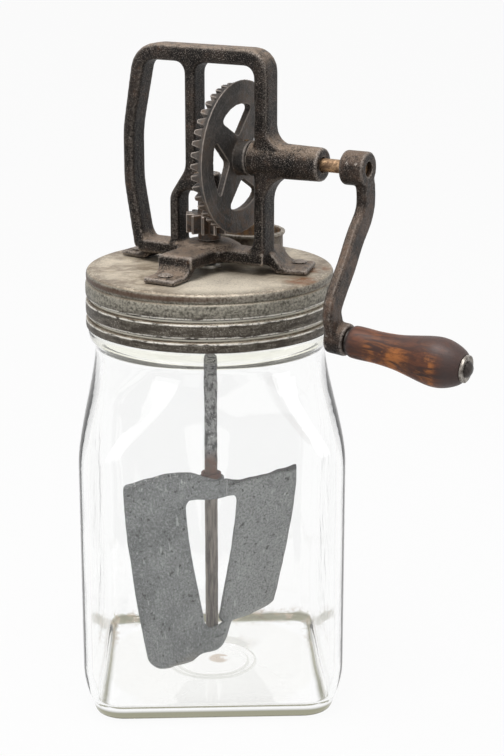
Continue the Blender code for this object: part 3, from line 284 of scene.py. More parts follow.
make_world()
make_paper()
soft_box("overhead_box", (-0.15, -0.30, 1.50), (0.0, 0.0, 0.20), size=0.8, power=20.0)
soft_box("front_fill", (-1.1, -1.2, 0.9), (0.0, 0.0, 0.18), size=0.9, power=4.0)
soft_box("right_fill", (1.3, -0.4, 0.8), (0.0, 0.0, 0.20), size=0.7, power=3.0)
print("paper, room light and", len(bpy.data.lights), "lamps")

# %% [markdown]
# ## Places that the pieces share
# The jar stands square to the axes. The frame and the crank are turned about the upright axis, so what
# belongs to them is worked out along the crank shaft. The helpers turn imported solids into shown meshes.

# %% Shared places
MECHANISM_YAW = math.radians(-32.0)
LID_TOP = 0.2010
SHAFT_Z = 0.2528
TO_MECHANISM = Matrix.Rotation(MECHANISM_YAW, 4, "Z")
ALONG_SHAFT = Vector((math.cos(MECHANISM_YAW), math.sin(MECHANISM_YAW), 0.0))
NO_SHARP_EDGE = 180.0


def new_piece(name, mesh, node, finish, sharp=35.0):
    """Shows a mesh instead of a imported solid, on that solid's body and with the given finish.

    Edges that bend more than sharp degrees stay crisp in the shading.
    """
    piece = bpy.data.objects.new(name, mesh)
    bpy.context.scene.collection.objects.link(piece)
    mesh.shade_smooth()
    mesh.set_sharp_from_angle(angle=math.radians(sharp))
    mesh.materials.clear()
    mesh.materials.append(finish)
    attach(piece, NODES[node]["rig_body"])
    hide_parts(node)
    print(name, "stands for", node, "with", len(mesh.polygons), "faces")


def mesh_from(work, name):
    """Closes a bmesh into a mesh with its faces pointing out."""
    bmesh.ops.recalc_face_normals(work, faces=work.faces)
    mesh = bpy.data.meshes.new(name)
    work.to_mesh(mesh)
    work.free()
    return mesh


def welded(node, name, reshape=None):
    """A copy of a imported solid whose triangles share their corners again. reshape may move each corner."""
    work = bmesh.new()
    work.from_mesh(NODES[node].data)
    bmesh.ops.remove_doubles(work, verts=work.verts, dist=1e-6)
    for corner in work.verts if reshape else ():
        corner.co = reshape(corner.co)
    mesh = mesh_from(work, name)
    if "custom_normal" in mesh.attributes:
        mesh.attributes.remove(mesh.attributes["custom_normal"])
    return mesh


def largest_shell(mesh):
    """Keeps the largest connected part of a mesh, and returns how many others it removed."""
    work = bmesh.new()
    work.from_mesh(mesh)
    left = set(work.verts)
    shells = []
    while left:
        shell = [left.pop()]
        for corner in shell:
            for edge in corner.link_edges:
                other = edge.other_vert(corner)
                if other in left:
                    left.discard(other)
                    shell.append(other)
        shells.append(shell)
    shells.sort(key=len)
    for shell in shells[:-1]:
        bmesh.ops.delete(work, geom=shell, context="VERTS")
    work.to_mesh(mesh)
    work.free()
    return len(shells) - 1


def modified(mesh, modifiers):
    """A mesh with modifiers applied. Each of them is a type and its settings."""
    shape = bpy.data.objects.new("shape", mesh)
    bpy.context.scene.collection.objects.link(shape)
    for kind, settings in modifiers:
        modifier = shape.modifiers.new(kind, kind)
        for name, value in settings.items():
            setattr(modifier, name, value)
    bpy.context.view_layer.update()
    graph = bpy.context.evaluated_depsgraph_get()
    made = bpy.data.meshes.new_from_object(shape.evaluated_get(graph))
    bpy.data.objects.remove(shape, do_unlink=True)
    return made


def softened(node, name, voxel, rounds, reshape=None):
    """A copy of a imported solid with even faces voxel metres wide, eased like a casting's edges."""
    even = ("REMESH", {"mode": "VOXEL", "voxel_size": voxel})
    ease = ("SMOOTH", {"factor": 0.5, "iterations": rounds})
    mesh = modified(welded(node, name, reshape), (even, ease))
    mesh.name = name
    print(name, "meshed anew, with", largest_shell(mesh), "crumbs removed")
    return mesh


print("mechanism turned by", math.degrees(MECHANISM_YAW), "degrees")

# %% [markdown]
# ## Cast iron
# The frame, the crank and the feet are sand castings that have gone brown and gritty, with tan dust and
# rust on what faces up and bare metal on worn edges. The tan on what faces up is painted top light as well
# as dust, the worn edges carry a painted highlight as well as wear, and the corners are nearly black with
# painted shade. Edges are found with the Geometry node's pointiness, which needs evenly meshed pieces.

# %% Cast iron finish
# Two near-blacks. The first darkens grit specks and is also painted shade in the gears' hollows. The second
# is painted shade only, in the iron's hollows and in the lid's grooves.
SOOT_AND_SHADE = (0.006, 0.005, 0.004)
PAINTED_DEEP_SHADE = (0.004, 0.003, 0.0025)


def iron_finish(name, dark, brown, tan, rust, edge, grain):
    """Cast iron: dark and brown in clouds, with rust in blots.

    Tan dust on top is also painted top light, bare metal on edges is also a painted highlight, and the
    hollows get painted shade.
    """
    made, shader, place = new_finish(name)
    start = Wire(made.node_tree)
    up = start.node("ShaderNodeTexCoord", output=1).part(2)
    pointed = start.node("ShaderNodeNewGeometry", output="Pointiness")
    broad = place.noise(0.012, 5.0, 0.6)
    medium = place.noise(0.0035, 6.0, 0.68)
    fine = place.noise(0.0009, 3.0, 0.65)
    grit = place.noise(0.00042, 2.0, 0.6)
    colour = (broad * 0.6 + medium * 0.4).ramp(0.42, 0.60).mix(dark, brown)
    # tan on up-facing faces: dust, and also painted top light
    dust_and_top_light = up.ramp(0.20, 0.95) * (medium * 0.6 + fine * 0.4).ramp(0.36, 0.56)
    colour = (dust_and_top_light * 0.85).mix(colour, tan)
    rusty = medium.ramp(0.54, 0.70) * broad.ramp(0.48, 0.66)
    colour = (rusty * 0.75).mix(colour, rust)
    # bare metal on worn edges, brightened further as a painted edge highlight
    worn = pointed.ramp(0.507, 0.538) * fine.ramp(0.34, 0.54)
    colour = (worn * 0.85).mix(colour, edge)
    # painted shade: hollows and corners darkened nearly to black
    painted_hollow_shade = pointed.fade(0.450, 0.496)
    colour = (painted_hollow_shade * 0.85).mix(colour, PAINTED_DEEP_SHADE)
    colour = (grit.ramp(0.57, 0.66) * 0.50).mix(colour, edge)
    colour = (grit.fade(0.34, 0.46) * 0.6).mix(colour, SOOT_AND_SHADE)
    height = fine * 0.5 + grit * 0.35 + medium * 0.8
    rough = 0.32 + medium * 0.22 + dust_and_top_light * 0.2 - worn * 0.08
    feed(shader, Base_Color=colour, Roughness=rough, Metallic=0.45, Specular_IOR_Level=0.20,
         Normal=bump(height, grain, 0.9))
    return made


IRON_RUST = (0.120, 0.056, 0.026)
FRAME_IRON = iron_finish(
    "worn_frame_iron", dark=(0.0065, 0.0050, 0.0042), brown=(0.034, 0.025, 0.020),
    tan=(0.30, 0.228, 0.172), rust=IRON_RUST, edge=(0.38, 0.33, 0.29), grain=0.0008)
CRANK_IRON = iron_finish(
    "worn_crank_iron", dark=(0.015, 0.011, 0.009), brown=(0.095, 0.064, 0.048),
    tan=(0.17, 0.125, 0.095), rust=IRON_RUST, edge=(0.30, 0.26, 0.23), grain=0.0005)
print("iron finishes", FRAME_IRON.name, CRANK_IRON.name)

# %% [markdown]
# The frame is one casting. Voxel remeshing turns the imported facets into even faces, and a few rounds of
# smoothing ease its corners the way a sand mould does.

# %% Frame, rivets and crank
CASTING_VOXEL = 0.00055
CRANK_VOXEL = 0.00045
CASTING_ROUNDS = 9

frame_mesh = softened("gear_frame", "cast_gear_frame", CASTING_VOXEL, CASTING_ROUNDS)
new_piece("cast_gear_frame", frame_mesh, "gear_frame", FRAME_IRON, NO_SHARP_EDGE)
crank_mesh = softened("crank_arm", "cast_crank_arm", CRANK_VOXEL, CASTING_ROUNDS)
new_piece("cast_crank_arm", crank_mesh, "crank_arm", CRANK_IRON, NO_SHARP_EDGE)
for side in ("left", "right", "front"):
    name = f"peened_rivet_{side}"
    new_piece(name, welded(f"foot_rivet_{side}", name), f"foot_rivet_{side}", FRAME_IRON)

# %% [markdown]
# ## Gears
# The wheel's flat face is dark and a little smoother than the frame, with brown stains. The imported teeth
# are short, so their roots are moved towards the face and the toothed rim is drawn in a little. Teeth are
# worn bright where they meet, so the wheel's finish goes by the distance along the crank shaft. All edges
# also get a painted highlight, and the hollows get painted shade.

# %% Gear finish
TOOTH_TIP = 0.0091
TOOTH_ROOT = 0.0125
TOOTH_DEEPER = 0.0020
TOOTH_SHORTER = 0.0008
TOOTH_SLACK = 0.0004
RIM_INNER = 0.0290
RIM_DRAW = 0.958
PINION_LOW = 0.2155
PINION_HIGH = 0.2265
WHEEL_VOXEL = 0.00036
PINION_VOXEL = 0.00030


def deepen_teeth(corner):
    """Moves the tooth roots towards the wheel's face, and draws the tips and the toothed rim in a little."""
    reach = corner.dot(ALONG_SHAFT)
    centre = Vector((0.0, 0.0, SHAFT_Z)) + ALONG_SHAFT * reach
    outward = corner - centre
    if outward.length <= RIM_INNER:
        return corner
    if abs(reach - TOOTH_ROOT) < TOOTH_SLACK:
        centre += ALONG_SHAFT * TOOTH_DEEPER
    if abs(reach - TOOTH_TIP) < TOOTH_SLACK:
        centre += ALONG_SHAFT * TOOTH_SHORTER
    if reach < TOOTH_ROOT + TOOTH_DEEPER:
        outward *= RIM_DRAW
    return centre + outward


def gear_finish(name, tooth_mask):
    """Dark gear iron with a painted highlight on its edges and painted shade in its hollows.

    tooth_mask takes the place and returns 1 on the teeth, which are worn bright.
    """
    made, shader, place = new_finish(name)
    start = Wire(made.node_tree)
    pointed = start.node("ShaderNodeNewGeometry", output="Pointiness")
    broad = place.noise(0.015, 5.0, 0.6, 0.6)
    medium = place.noise(0.003, 6.0, 0.65)
    fine = place.noise(0.0008, 3.0, 0.6)
    colour = broad.ramp(0.38, 0.62).mix((0.034, 0.031, 0.029), (0.085, 0.073, 0.064))
    stain = broad.ramp(0.50, 0.68) * medium.ramp(0.40, 0.65)
    colour = (stain * 0.7).mix(colour, (0.11, 0.060, 0.032))
    low = place.part(2).fade(0.215, 0.245)
    colour = (low * medium.ramp(0.42, 0.62) * 0.6).mix(colour, (0.14, 0.074, 0.038))
    colour = (fine.ramp(0.52, 0.68) * 0.30).mix(colour, (0.20, 0.18, 0.165))
    teeth = tooth_mask(place)
    # edges brightened: wear on the teeth, and a painted edge highlight on every edge
    bright = pointed.ramp(0.504, 0.545) * (0.45 + 0.55 * teeth)
    colour = (bright * 0.95).mix(colour, (0.46, 0.40, 0.355))
    # painted shade: hollows darkened nearly to black
    painted_hollow_shade = pointed.fade(0.40, 0.488)
    colour = (painted_hollow_shade * 0.9).mix(colour, SOOT_AND_SHADE)
    height = fine * 0.6 + medium * 0.8
    rough = 0.40 + medium * 0.25
    feed(shader, Base_Color=colour, Roughness=rough, Metallic=0.55, Specular_IOR_Level=0.35,
         Normal=bump(height, 0.0004, 0.9))
    return made


def along(place):
    """Distance of a point from the jar's axis, along the crank shaft."""
    return place.part(0) * ALONG_SHAFT.x + place.part(1) * ALONG_SHAFT.y


def wheel_teeth(place):
    """1 at the tips of the wheel's teeth, easing to 0 just past their roots."""
    return along(place).fade(TOOTH_TIP, TOOTH_ROOT + 0.001)


def pinion_teeth(place):
    """1 at the pinion's lower end, easing to 0.6 at its upper end."""
    return place.part(2).ramp(PINION_LOW, PINION_HIGH, 1.0, 0.6)


wheel_mesh = softened("drive_wheel", "toothed_wheel", WHEEL_VOXEL, 3, deepen_teeth)
wheel_iron = gear_finish("face_gear_iron", wheel_teeth)
new_piece("toothed_wheel", wheel_mesh, "drive_wheel", wheel_iron, NO_SHARP_EDGE)
pinion_mesh = softened("pinion", "toothed_pinion", PINION_VOXEL, 2)
pinion_iron = gear_finish("pinion_iron", pinion_teeth)
new_piece("toothed_pinion", pinion_mesh, "pinion", pinion_iron, NO_SHARP_EDGE)

# %% [markdown]
# ## Shafts, washers and the eyelet
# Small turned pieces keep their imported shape. Only their shading is smoothed, and each gets a metal with
# fine stains: bronze-brown on the crank shaft, dark on the handle's spindle, bright on the eyelet.

# %% Turned metal finishes
def rod_finish(name, pale, dark, metallic, rough, spot=0.004):
    """Metal or rust that turns from pale to dark in stains about spot metres wide."""
    made, shader, place = new_finish(name)
    stains = place.noise(spot, 6.0, 0.65, 0.4)
    fine = place.noise(0.0007, 3.0)
    colour = stains.ramp(0.36, 0.66).mix(pale, dark)
    feed(shader, Base_Color=colour, Metallic=metallic, Roughness=rough + stains * 0.22,
         Normal=bump(fine + stains * 2.0, 0.00012, 0.7))
    return made


SHAFT_BRONZE = rod_finish("golden_shaft_steel", (0.40, 0.26, 0.15), (0.12, 0.072, 0.042), 0.80, 0.30)
NICKEL = rod_finish("worn_nickel", (0.74, 0.72, 0.67), (0.42, 0.38, 0.33), 0.95, 0.20)
WASHER_STEEL = rod_finish(
    "greyed_washer_steel", (0.40, 0.37, 0.33), (0.12, 0.10, 0.085), 0.80, 0.32, spot=0.0022)
RUSTY_SHEET = rod_finish("golden_rust", (0.46, 0.23, 0.065), (0.12, 0.05, 0.02), 0.15, 0.65, spot=0.0025)
RING_RUST = rod_finish(
    "dark_ring_rust", (0.15, 0.070, 0.045), (0.075, 0.034, 0.024), 0.15, 0.60, spot=0.0025)
DARK_STEEL = rod_finish("dark_spindle_steel", (0.060, 0.050, 0.045), (0.020, 0.016, 0.014), 0.70, 0.26)
SEAL_WAX = rod_finish("aged_seal", (0.66, 0.60, 0.48), (0.46, 0.40, 0.28), 0.0, 0.6)

# %% [markdown]
# The dasher's rod has two finishes. Above the blade its plating is mottled grey with white specks.
# Between the blade's two halves it has gone tan, with a rusty patch where it leaves the sheet.

# %% Dasher rod finish
ROD_BREAK = 0.1050


def rod_plating():
    """Tan streaks below the break, mottled plating with specks above it, and rust around it."""
    made, shader, place = new_finish("mottled_rod_plating")
    height = place.part(2)
    mottle = place.scaled(1.0, 1.0, 0.6).noise(0.0024, 6.0, 0.75)
    specks = place.noise(0.0011, 3.0, 0.6).ramp(0.60, 0.68)
    streaks = place.scaled(1.0, 1.0, 0.12).noise(0.0016, 4.0, 0.6)
    upper = mottle.ramp(0.40, 0.60).mix((0.026, 0.025, 0.025), (0.36, 0.36, 0.35))
    upper = (specks * 0.8).mix(upper, (0.66, 0.66, 0.65))
    lower = streaks.ramp(0.34, 0.66).mix((0.085, 0.068, 0.056), (0.27, 0.235, 0.20))
    colour = height.ramp(ROD_BREAK - 0.004, ROD_BREAK + 0.006).mix(lower, upper)
    rust = height.away(ROD_BREAK).fade(0.002, 0.010) * mottle.ramp(0.36, 0.56)
    colour = rust.mix(colour, (0.15, 0.072, 0.045))
    feed(shader, Base_Color=colour, Metallic=0.45, Roughness=0.42 + mottle * 0.2,
         Normal=bump(mottle + specks, 0.0003, 0.8))
    return made


ROD_STEEL = rod_plating()
TURNED = (
    ("golden_crank_shaft", "crank_shaft", SHAFT_BRONZE),
    ("wheel_cross_pin", "wheel_pin", SHAFT_BRONZE),
    ("pinion_cross_pin", "pinion_pin", SHAFT_BRONZE),
    ("mottled_dasher_rod", "dasher_shaft", ROD_STEEL),
    ("nickel_eyelet", "shaft_sleeve", NICKEL),
    ("greyed_end_washer", "handle_end_washer", WASHER_STEEL),
    ("dark_inner_washer", "handle_inner_washer", DARK_STEEL),
    ("domed_spindle", "handle_spindle", DARK_STEEL),
    ("rusty_blade_ring", "blade_upper_ring", RING_RUST),
    ("pale_lid_seal", "lid_seal", SEAL_WAX),
    ("rusty_strainer", "filler_strainer", RUSTY_SHEET),
)
for name, node, finish in TURNED:
    new_piece(name, welded(node, name), node, finish)

# %% [markdown]
# ## Tin lid
# The lid is pressed from sheet. Its skirt is rolled into wide beads between narrow grooves, which sit
# slightly out of level, so the skirt is lofted with the grooves' height shifted a little with the
# direction. The painted highlights on the lips and the painted shade in the grooves go by the same
# heights, so that paint and shape agree.

# %% Threaded lid
LID_RADIUS = 0.0570
LID_BOTTOM = 0.1752
LID_SHEET = 0.0008
LID_INNER = 0.0550
LID_EDGE = 0.0020
LID_BORE = 0.0049
LID_STEPS = 160
GROOVES = (0.0049, 0.0133, 0.0214)
GROOVE_DEPTHS = (0.0016, 0.0016, 0.0004)
GROOVE_WIDTH = 0.00065
BEAD_SAG = 0.0008
BEAD_TILT = 0.0005
BEAD_TILT_TURN = math.radians(310.0)
LID_FLAT_EDGE = LID_RADIUS - LID_EDGE - 0.004
LID_EDGE_STEPS = 5
SKIRT_ROWS = 80


def skirt_radius(low, turn):
    """The skirt's radius at a height above its bottom edge, in the direction turn."""
    level = low - BEAD_TILT * math.cos(turn - BEAD_TILT_TURN)
    radius = LID_RADIUS
    for groove, depth in zip(GROOVES, GROOVE_DEPTHS):
        radius -= depth * math.exp(-((level - groove) / GROOVE_WIDTH) ** 2)
    edges = (-0.0010,) + GROOVES
    for low_edge, high_edge in zip(edges, edges[1:]):
        if low_edge < level < high_edge:
            share = 2 * (level - low_edge) / (high_edge - low_edge) - 1
            return radius - BEAD_SAG * share ** 4
    return radius - BEAD_SAG * 0.5


def lid_profile(turn):
    """Points (radius, height) over the lid's top, down its skirt and back up inside."""
    points = [(radius, LID_TOP) for radius in (LID_BORE, 0.020, 0.040, LID_FLAT_EDGE)]
    skirt_height = LID_TOP - LID_EDGE - LID_BOTTOM
    top_radius = skirt_radius(skirt_height, turn)
    for step in range(LID_EDGE_STEPS + 1):
        angle = math.radians(90.0) * step / LID_EDGE_STEPS
        radius = top_radius - LID_EDGE * (1 - math.sin(angle))
        points.append((radius, LID_TOP - LID_EDGE * (1 - math.cos(angle))))
    for row in range(1, SKIRT_ROWS + 1):
        low = skirt_height * (1 - row / SKIRT_ROWS)
        points.append((skirt_radius(low, turn), LID_BOTTOM + low))
    underside = LID_TOP - LID_SHEET
    return points + [(LID_INNER, LID_BOTTOM), (LID_INNER, underside), (LID_BORE, underside)]


def loft(columns, name):
    """Joins closed columns of points, laid side by side round an axis, into a mesh."""
    work = bmesh.new()
    rows = [[work.verts.new(point) for point in column] for column in columns]
    for index, column in enumerate(rows):
        after = rows[(index + 1) % len(rows)]
        for row in range(len(column)):
            below = (row + 1) % len(column)
            work.faces.new((column[row], column[below], after[below], after[row]))
    return mesh_from(work, name)


def lid_columns():
    """The lid's profile at even turns round the axis."""
    for step in range(LID_STEPS):
        turn = 2 * math.pi * step / LID_STEPS
        yield [(r * math.cos(turn), r * math.sin(turn), z) for r, z in lid_profile(turn)]


beaded_lid = loft(lid_columns(), "beaded_lid")
print("lid lofted with", len(beaded_lid.vertices), "corners")

# %% [markdown]
# The lid's finish goes by height and by the distance from the axis. Its top is cream tin gone brown in
# blots, with a painted highlight at the front. Its grooves are black with painted shade, between lips that
# carry a broken painted highlight.

# %% Lid finish
# centre of the painted highlight on the lid's front
PAINTED_HIGHLIGHT_PLACE = (0.004, -0.038, LID_TOP)
RUST_SPOTS = ((0.0470, -0.0070, LID_TOP), (0.0400, -0.0300, LID_TOP))
LIP_AWAY = 0.0014
LIP_WIDTH = 0.0006
RED_BAND = 0.0234


def lid_finish():
    """Mottled tin: top, skirt, grooves with painted shade, lips with a painted highlight, and the paler
    inside.
    """
    made, shader, place = new_finish("mottled_lid_tin")
    start = Wire(made.node_tree)
    up = start.node("ShaderNodeTexCoord", output=1).part(2).ramp(0.45, 0.85)
    radius = place.scaled(1.0, 1.0, 0.0).distance((0.0, 0.0, 0.0))
    streaks = place.scaled(1.0, 1.4, 1.0).noise(0.030, 6.0, 0.68, 0.6)
    blots = place.noise(0.008, 6.0, 0.66, 0.5)
    fine = place.noise(0.0011, 4.0, 0.65)
    grit = place.noise(0.00055, 2.0, 0.6)
    top = (streaks * 0.6 + blots * 0.4).ramp(0.41, 0.60).mix((0.22, 0.168, 0.115), (0.60, 0.52, 0.405))
    top = (blots.ramp(0.56, 0.72) * 0.55).mix(top, (0.20, 0.13, 0.07))
    # painted highlight: a pale patch on the front of the top
    painted_highlight = place.distance(PAINTED_HIGHLIGHT_PLACE).fade(0.010, 0.036) * fine.ramp(0.30, 0.46)
    top = (painted_highlight * 0.75).mix(top, (0.84, 0.76, 0.63))
    rim = radius.ramp(0.046, 0.0555)
    top = (rim * fine.ramp(0.36, 0.58) * 0.65).mix(top, (0.135, 0.105, 0.075))
    top = (grit.ramp(0.56, 0.68) * 0.40).mix(top, (0.13, 0.105, 0.08))
    for spot in RUST_SPOTS:
        rusty = place.distance(spot).fade(0.003, 0.011) * blots.ramp(0.40, 0.54)
        top = rusty.mix(top, (0.20, 0.085, 0.03))
    turned = math.cos(BEAD_TILT_TURN) * place.part(0) + math.sin(BEAD_TILT_TURN) * place.part(1)
    low = place.part(2) - LID_BOTTOM - turned * (BEAD_TILT / LID_RADIUS)
    bands = place.scaled(1.0, 1.0, 5.0).noise(0.009, 5.0, 0.65)
    band = low.ramp(GROOVES[1] + 0.0005, GROOVES[1] + 0.0040)
    side = (bands * 0.6 + fine * 0.4).ramp(0.40, 0.60).mix((0.052, 0.042, 0.032), (0.135, 0.118, 0.094))
    upper = (fine * 0.7 + bands * 0.3).ramp(0.38, 0.58).mix((0.085, 0.078, 0.062), (0.36, 0.335, 0.275))
    side = band.mix(side, upper)
    side = (grit.ramp(0.54, 0.64) * 0.55).mix(side, (0.018, 0.015, 0.012))
    bare = grit.fade(0.34, 0.44) * bands.ramp(0.40, 0.56)
    side = (bare * 0.55).mix(side, (0.46, 0.43, 0.37))
    lips = 0.0
    for groove in GROOVES[:2]:
        # painted shade: the grooves darkened nearly to black
        side = low.near(groove, 0.0012).mix(side, PAINTED_DEEP_SHADE)
        both = low.near(groove + LIP_AWAY, LIP_WIDTH).larger(low.near(groove - LIP_AWAY, LIP_WIDTH))
        lips = both.larger(lips)
    # painted highlight: the lips beside each groove brightened, broken up by noise
    side = (lips * bands.ramp(0.38, 0.50) * fine.ramp(0.34, 0.48)).mix(side, (0.74, 0.71, 0.64))
    red = low.near(RED_BAND, 0.0018) * place.part(0).ramp(-0.02, 0.02, 1.0, 0.25)
    side = (red * 0.85).mix(side, (0.075, 0.036, 0.020))
    inner = radius.fade(LID_INNER + 0.0002, LID_INNER + 0.0006)
    inner = inner * place.part(2).fade(LID_TOP - LID_SHEET, LID_TOP - LID_SHEET / 2)
    colour = inner.mix(up.mix(side, top), (0.80, 0.77, 0.68))
    rough = 0.38 + blots * 0.20 - lips * 0.10
    height = fine * 0.6 + blots * 0.7 + grit * 0.25
    feed(shader, Base_Color=colour, Roughness=rough, Metallic=0.35, Specular_IOR_Level=0.25,
         Normal=bump(height, 0.0003, 0.8))
    return made


new_piece("beaded_lid", beaded_lid, "screw_lid", lid_finish(), sharp=60.0)

# %% [markdown]
# The filler cup is rolled from the same tin. Its outside and its rolled rim are grey, and its inside is
# golden with rust, so the finish goes by the distance from the cup's own axis.

# %% Filler cup
CUP_AXIS = (0.01977, 0.03163, 0.0)
CUP_INSIDE = 0.0143


def cup_finish():
    """Grey tin with a brighter rim, and golden rust inside."""
    made, shader, place = new_finish("rusted_cup_tin")
    reach = place.scaled(1.0, 1.0, 0.0).distance(CUP_AXIS)
    blots = place.noise(0.004, 6.0, 0.66, 0.5)
    fine = place.noise(0.0010, 4.0, 0.65)
    grey = blots.ramp(0.38, 0.62).mix((0.095, 0.072, 0.055), (0.25, 0.215, 0.17))
    rim = place.part(2).ramp(0.2095, 0.2110)
    grey = (rim * fine.ramp(0.36, 0.56) * 0.7).mix(grey, (0.44, 0.40, 0.34))
    gold = blots.ramp(0.36, 0.60).mix((0.60, 0.34, 0.10), (0.22, 0.095, 0.03))
    gold = (fine.ramp(0.56, 0.68) * 0.6).mix(gold, (0.06, 0.03, 0.012))
    colour = reach.fade(CUP_INSIDE, CUP_INSIDE + 0.0004).mix(grey, gold)
    feed(shader, Base_Color=colour, Roughness=0.45 + blots * 0.2, Metallic=0.25,
         Normal=bump(fine + blots, 0.0003, 0.8))
    return made


new_piece("rolled_filler_cup", welded("filler_neck", "rolled_filler_cup"), "filler_neck", cup_finish())

# %% [markdown]
# ## Glass jar
# Glass needs real thickness, because what shows is the light bent at both of its faces. The jar is lofted
# from rounded-square rings that draw in towards the foot and turn into circles at the neck. The slab
# under its floor is olive green, like old pressed glass seen along its length, and the rest is nearly
# clear.

# %% Glass jar sizes
JAR_HALF = 0.060
JAR_CORNER = 0.021
FOOT_CORNER = 0.012
FOOT_ROUND = 0.0022
FOOT_DRAW = 0.0062
FOOT_HEIGHT = 0.022
JAR_WALL = 0.0036
JAR_FLOOR = 0.0050
JAR_HEEL = 0.0060
JAR_STRAIGHT = 0.120
JAR_SHOULDER = 0.046
JAR_NECK = 0.0530
JAR_COLLAR = 0.0560
JAR_RIM = 0.198
JAR_STEPS = 144


def rounded_square(half, corner, turn):
    """Distance from the axis to a rounded square's side in the direction turn."""
    across, along_side = abs(math.cos(turn)), abs(math.sin(turn))
    flat = half - corner
    total = flat * (across + along_side)
    reach = total + math.sqrt(max(total * total - 2 * flat * flat + corner * corner, 0.0))
    if reach * across > flat and reach * along_side > flat:
        return reach
    return half / max(across, along_side)


def jar_ring(height, half, corner):
    """Points of one level ring. They crowd at the corners, where the glass curves."""
    points = []
    for step in range(JAR_STEPS):
        place = 4 * step / JAR_STEPS
        side = math.floor(place)
        share = 2 * (place - side) - 1
        bent = math.copysign(abs(share) ** 1.5, share)
        turn = math.radians(90.0) * side + math.radians(45.0) * (1 + bent)
        reach = rounded_square(half, corner, turn)
        points.append((reach * math.cos(turn), reach * math.sin(turn), height))
    return points


def drawn_in(height):
    """Half width and corner radius of the jar's outside at a height, where it draws in towards the foot."""
    share = min(height / FOOT_HEIGHT, 1.0)
    half = JAR_HALF - FOOT_DRAW * (1 - share) ** 1.6
    return half, FOOT_CORNER + (JAR_CORNER - FOOT_CORNER) * share


def steps_between(start, finish, count):
    """Even steps from start to finish, without start itself."""
    return [start + (finish - start) * step / count for step in range(1, count + 1)]


def foot_rings():
    """The outside from the edge of the base up to the shoulder."""
    rings = []
    for step in range(7):
        turn = math.radians(90.0) * step / 6
        height = FOOT_ROUND * (1 - math.cos(turn))
        half, corner = drawn_in(height)
        rings.append((height, half - FOOT_ROUND * (1 - math.sin(turn)), corner))
    heights = steps_between(FOOT_ROUND, FOOT_HEIGHT, 10) + steps_between(FOOT_HEIGHT, JAR_STRAIGHT, 6)
    return rings + [(height, *drawn_in(height)) for height in heights]


def inner_rings():
    """The inside from the shoulder down to the floor, with a round heel."""
    rings = []
    heel_top = JAR_FLOOR + JAR_HEEL
    heights = [JAR_STRAIGHT] + steps_between(JAR_STRAIGHT, FOOT_HEIGHT, 6)
    for height in heights + steps_between(FOOT_HEIGHT, heel_top, 5):
        half, corner = drawn_in(height)
        rings.append((height, half - JAR_WALL, corner - JAR_WALL))
    for step in range(1, 9):
        turn = math.radians(90.0) * step / 8
        inset = JAR_WALL + JAR_HEEL * (1 - math.cos(turn))
        rings.append((JAR_FLOOR + JAR_HEEL * (1 - math.sin(turn)), half - inset, max(corner - inset, 0.005)))
    return rings


def shoulder_rings(half, corner, neck, steps):
    """Rings that ease from a rounded square into a circle of radius neck."""
    rings = []
    for step in range(1, steps + 1):
        share = step / steps
        ease = share * share * (3 - 2 * share)
        width = half + (neck - half) * ease
        rings.append((JAR_STRAIGHT + JAR_SHOULDER * share, width, corner + (neck - corner) * ease))
    return rings


# %% [markdown]
# Under the lid stands a collar, a rolled ring of glass that stops the lid. Two shallow rings stand on the
# middle of the floor, where such jars carry the mark of their mould.

# %% Glass jar
JAR_BORE = JAR_NECK - 0.0045
COLLAR_RINGS = (
    (0.1668, 0.0534), (0.1682, 0.0543), (0.1698, JAR_COLLAR - 0.0005), (0.1722, JAR_COLLAR),
    (0.1742, JAR_COLLAR), (0.1748, JAR_COLLAR - 0.0007), (0.1749, JAR_NECK), (0.1860, JAR_NECK),
    (JAR_RIM, JAR_NECK),
)
FLOOR_RINGS = (
    (0.0220, 0.0), (0.0210, 0.0006), (0.0202, 0.0010), (0.0194, 0.0006), (0.0184, 0.0), (0.0178, 0.0),
    (0.0172, 0.0005), (0.0166, 0.0008), (0.0160, 0.0005), (0.0152, 0.0), (0.0040, 0.0),
)


def make_jar_mesh():
    """The whole jar as one closed skin: outside up, over the rim, inside down and across the floor."""
    rings = foot_rings()
    rings += shoulder_rings(JAR_HALF, JAR_CORNER, JAR_NECK, 22)
    rings += [(height, radius, radius) for height, radius in COLLAR_RINGS]
    rings.append((JAR_RIM, JAR_BORE, JAR_BORE))
    rings += reversed(shoulder_rings(JAR_HALF - JAR_WALL, JAR_CORNER - JAR_WALL, JAR_BORE, 18))
    rings += inner_rings()
    rings += [(JAR_FLOOR + rise, radius, radius) for radius, rise in FLOOR_RINGS]
    work = bmesh.new()
    rows = [[work.verts.new(point) for point in jar_ring(*ring)] for ring in rings]
    for low, high in zip(rows, rows[1:]):
        for index in range(JAR_STEPS):
            after = (index + 1) % JAR_STEPS
            work.faces.new((low[index], low[after], high[after], high[index]))
    work.faces.new(list(reversed(rows[0])))
    work.faces.new(rows[-1])
    return mesh_from(work, "clear_jar")


print("jar with", len(foot_rings() + inner_rings()), "square rings below its shoulder")

# %% [markdown]
# The tints below are the dirt and the thick glass that the photographed jar shows: an olive slab, a line
# along the heel, rings and a brown spot on the floor, and a warm collar.

# %% Glass finish
OUTER_RING = 0.0208
INNER_RING = 0.0173
HEEL_HEIGHT = 0.0072
COLLAR_HEIGHT = 0.1722
FLOOR_SPOT = (0.0035, 0.0030, JAR_FLOOR)


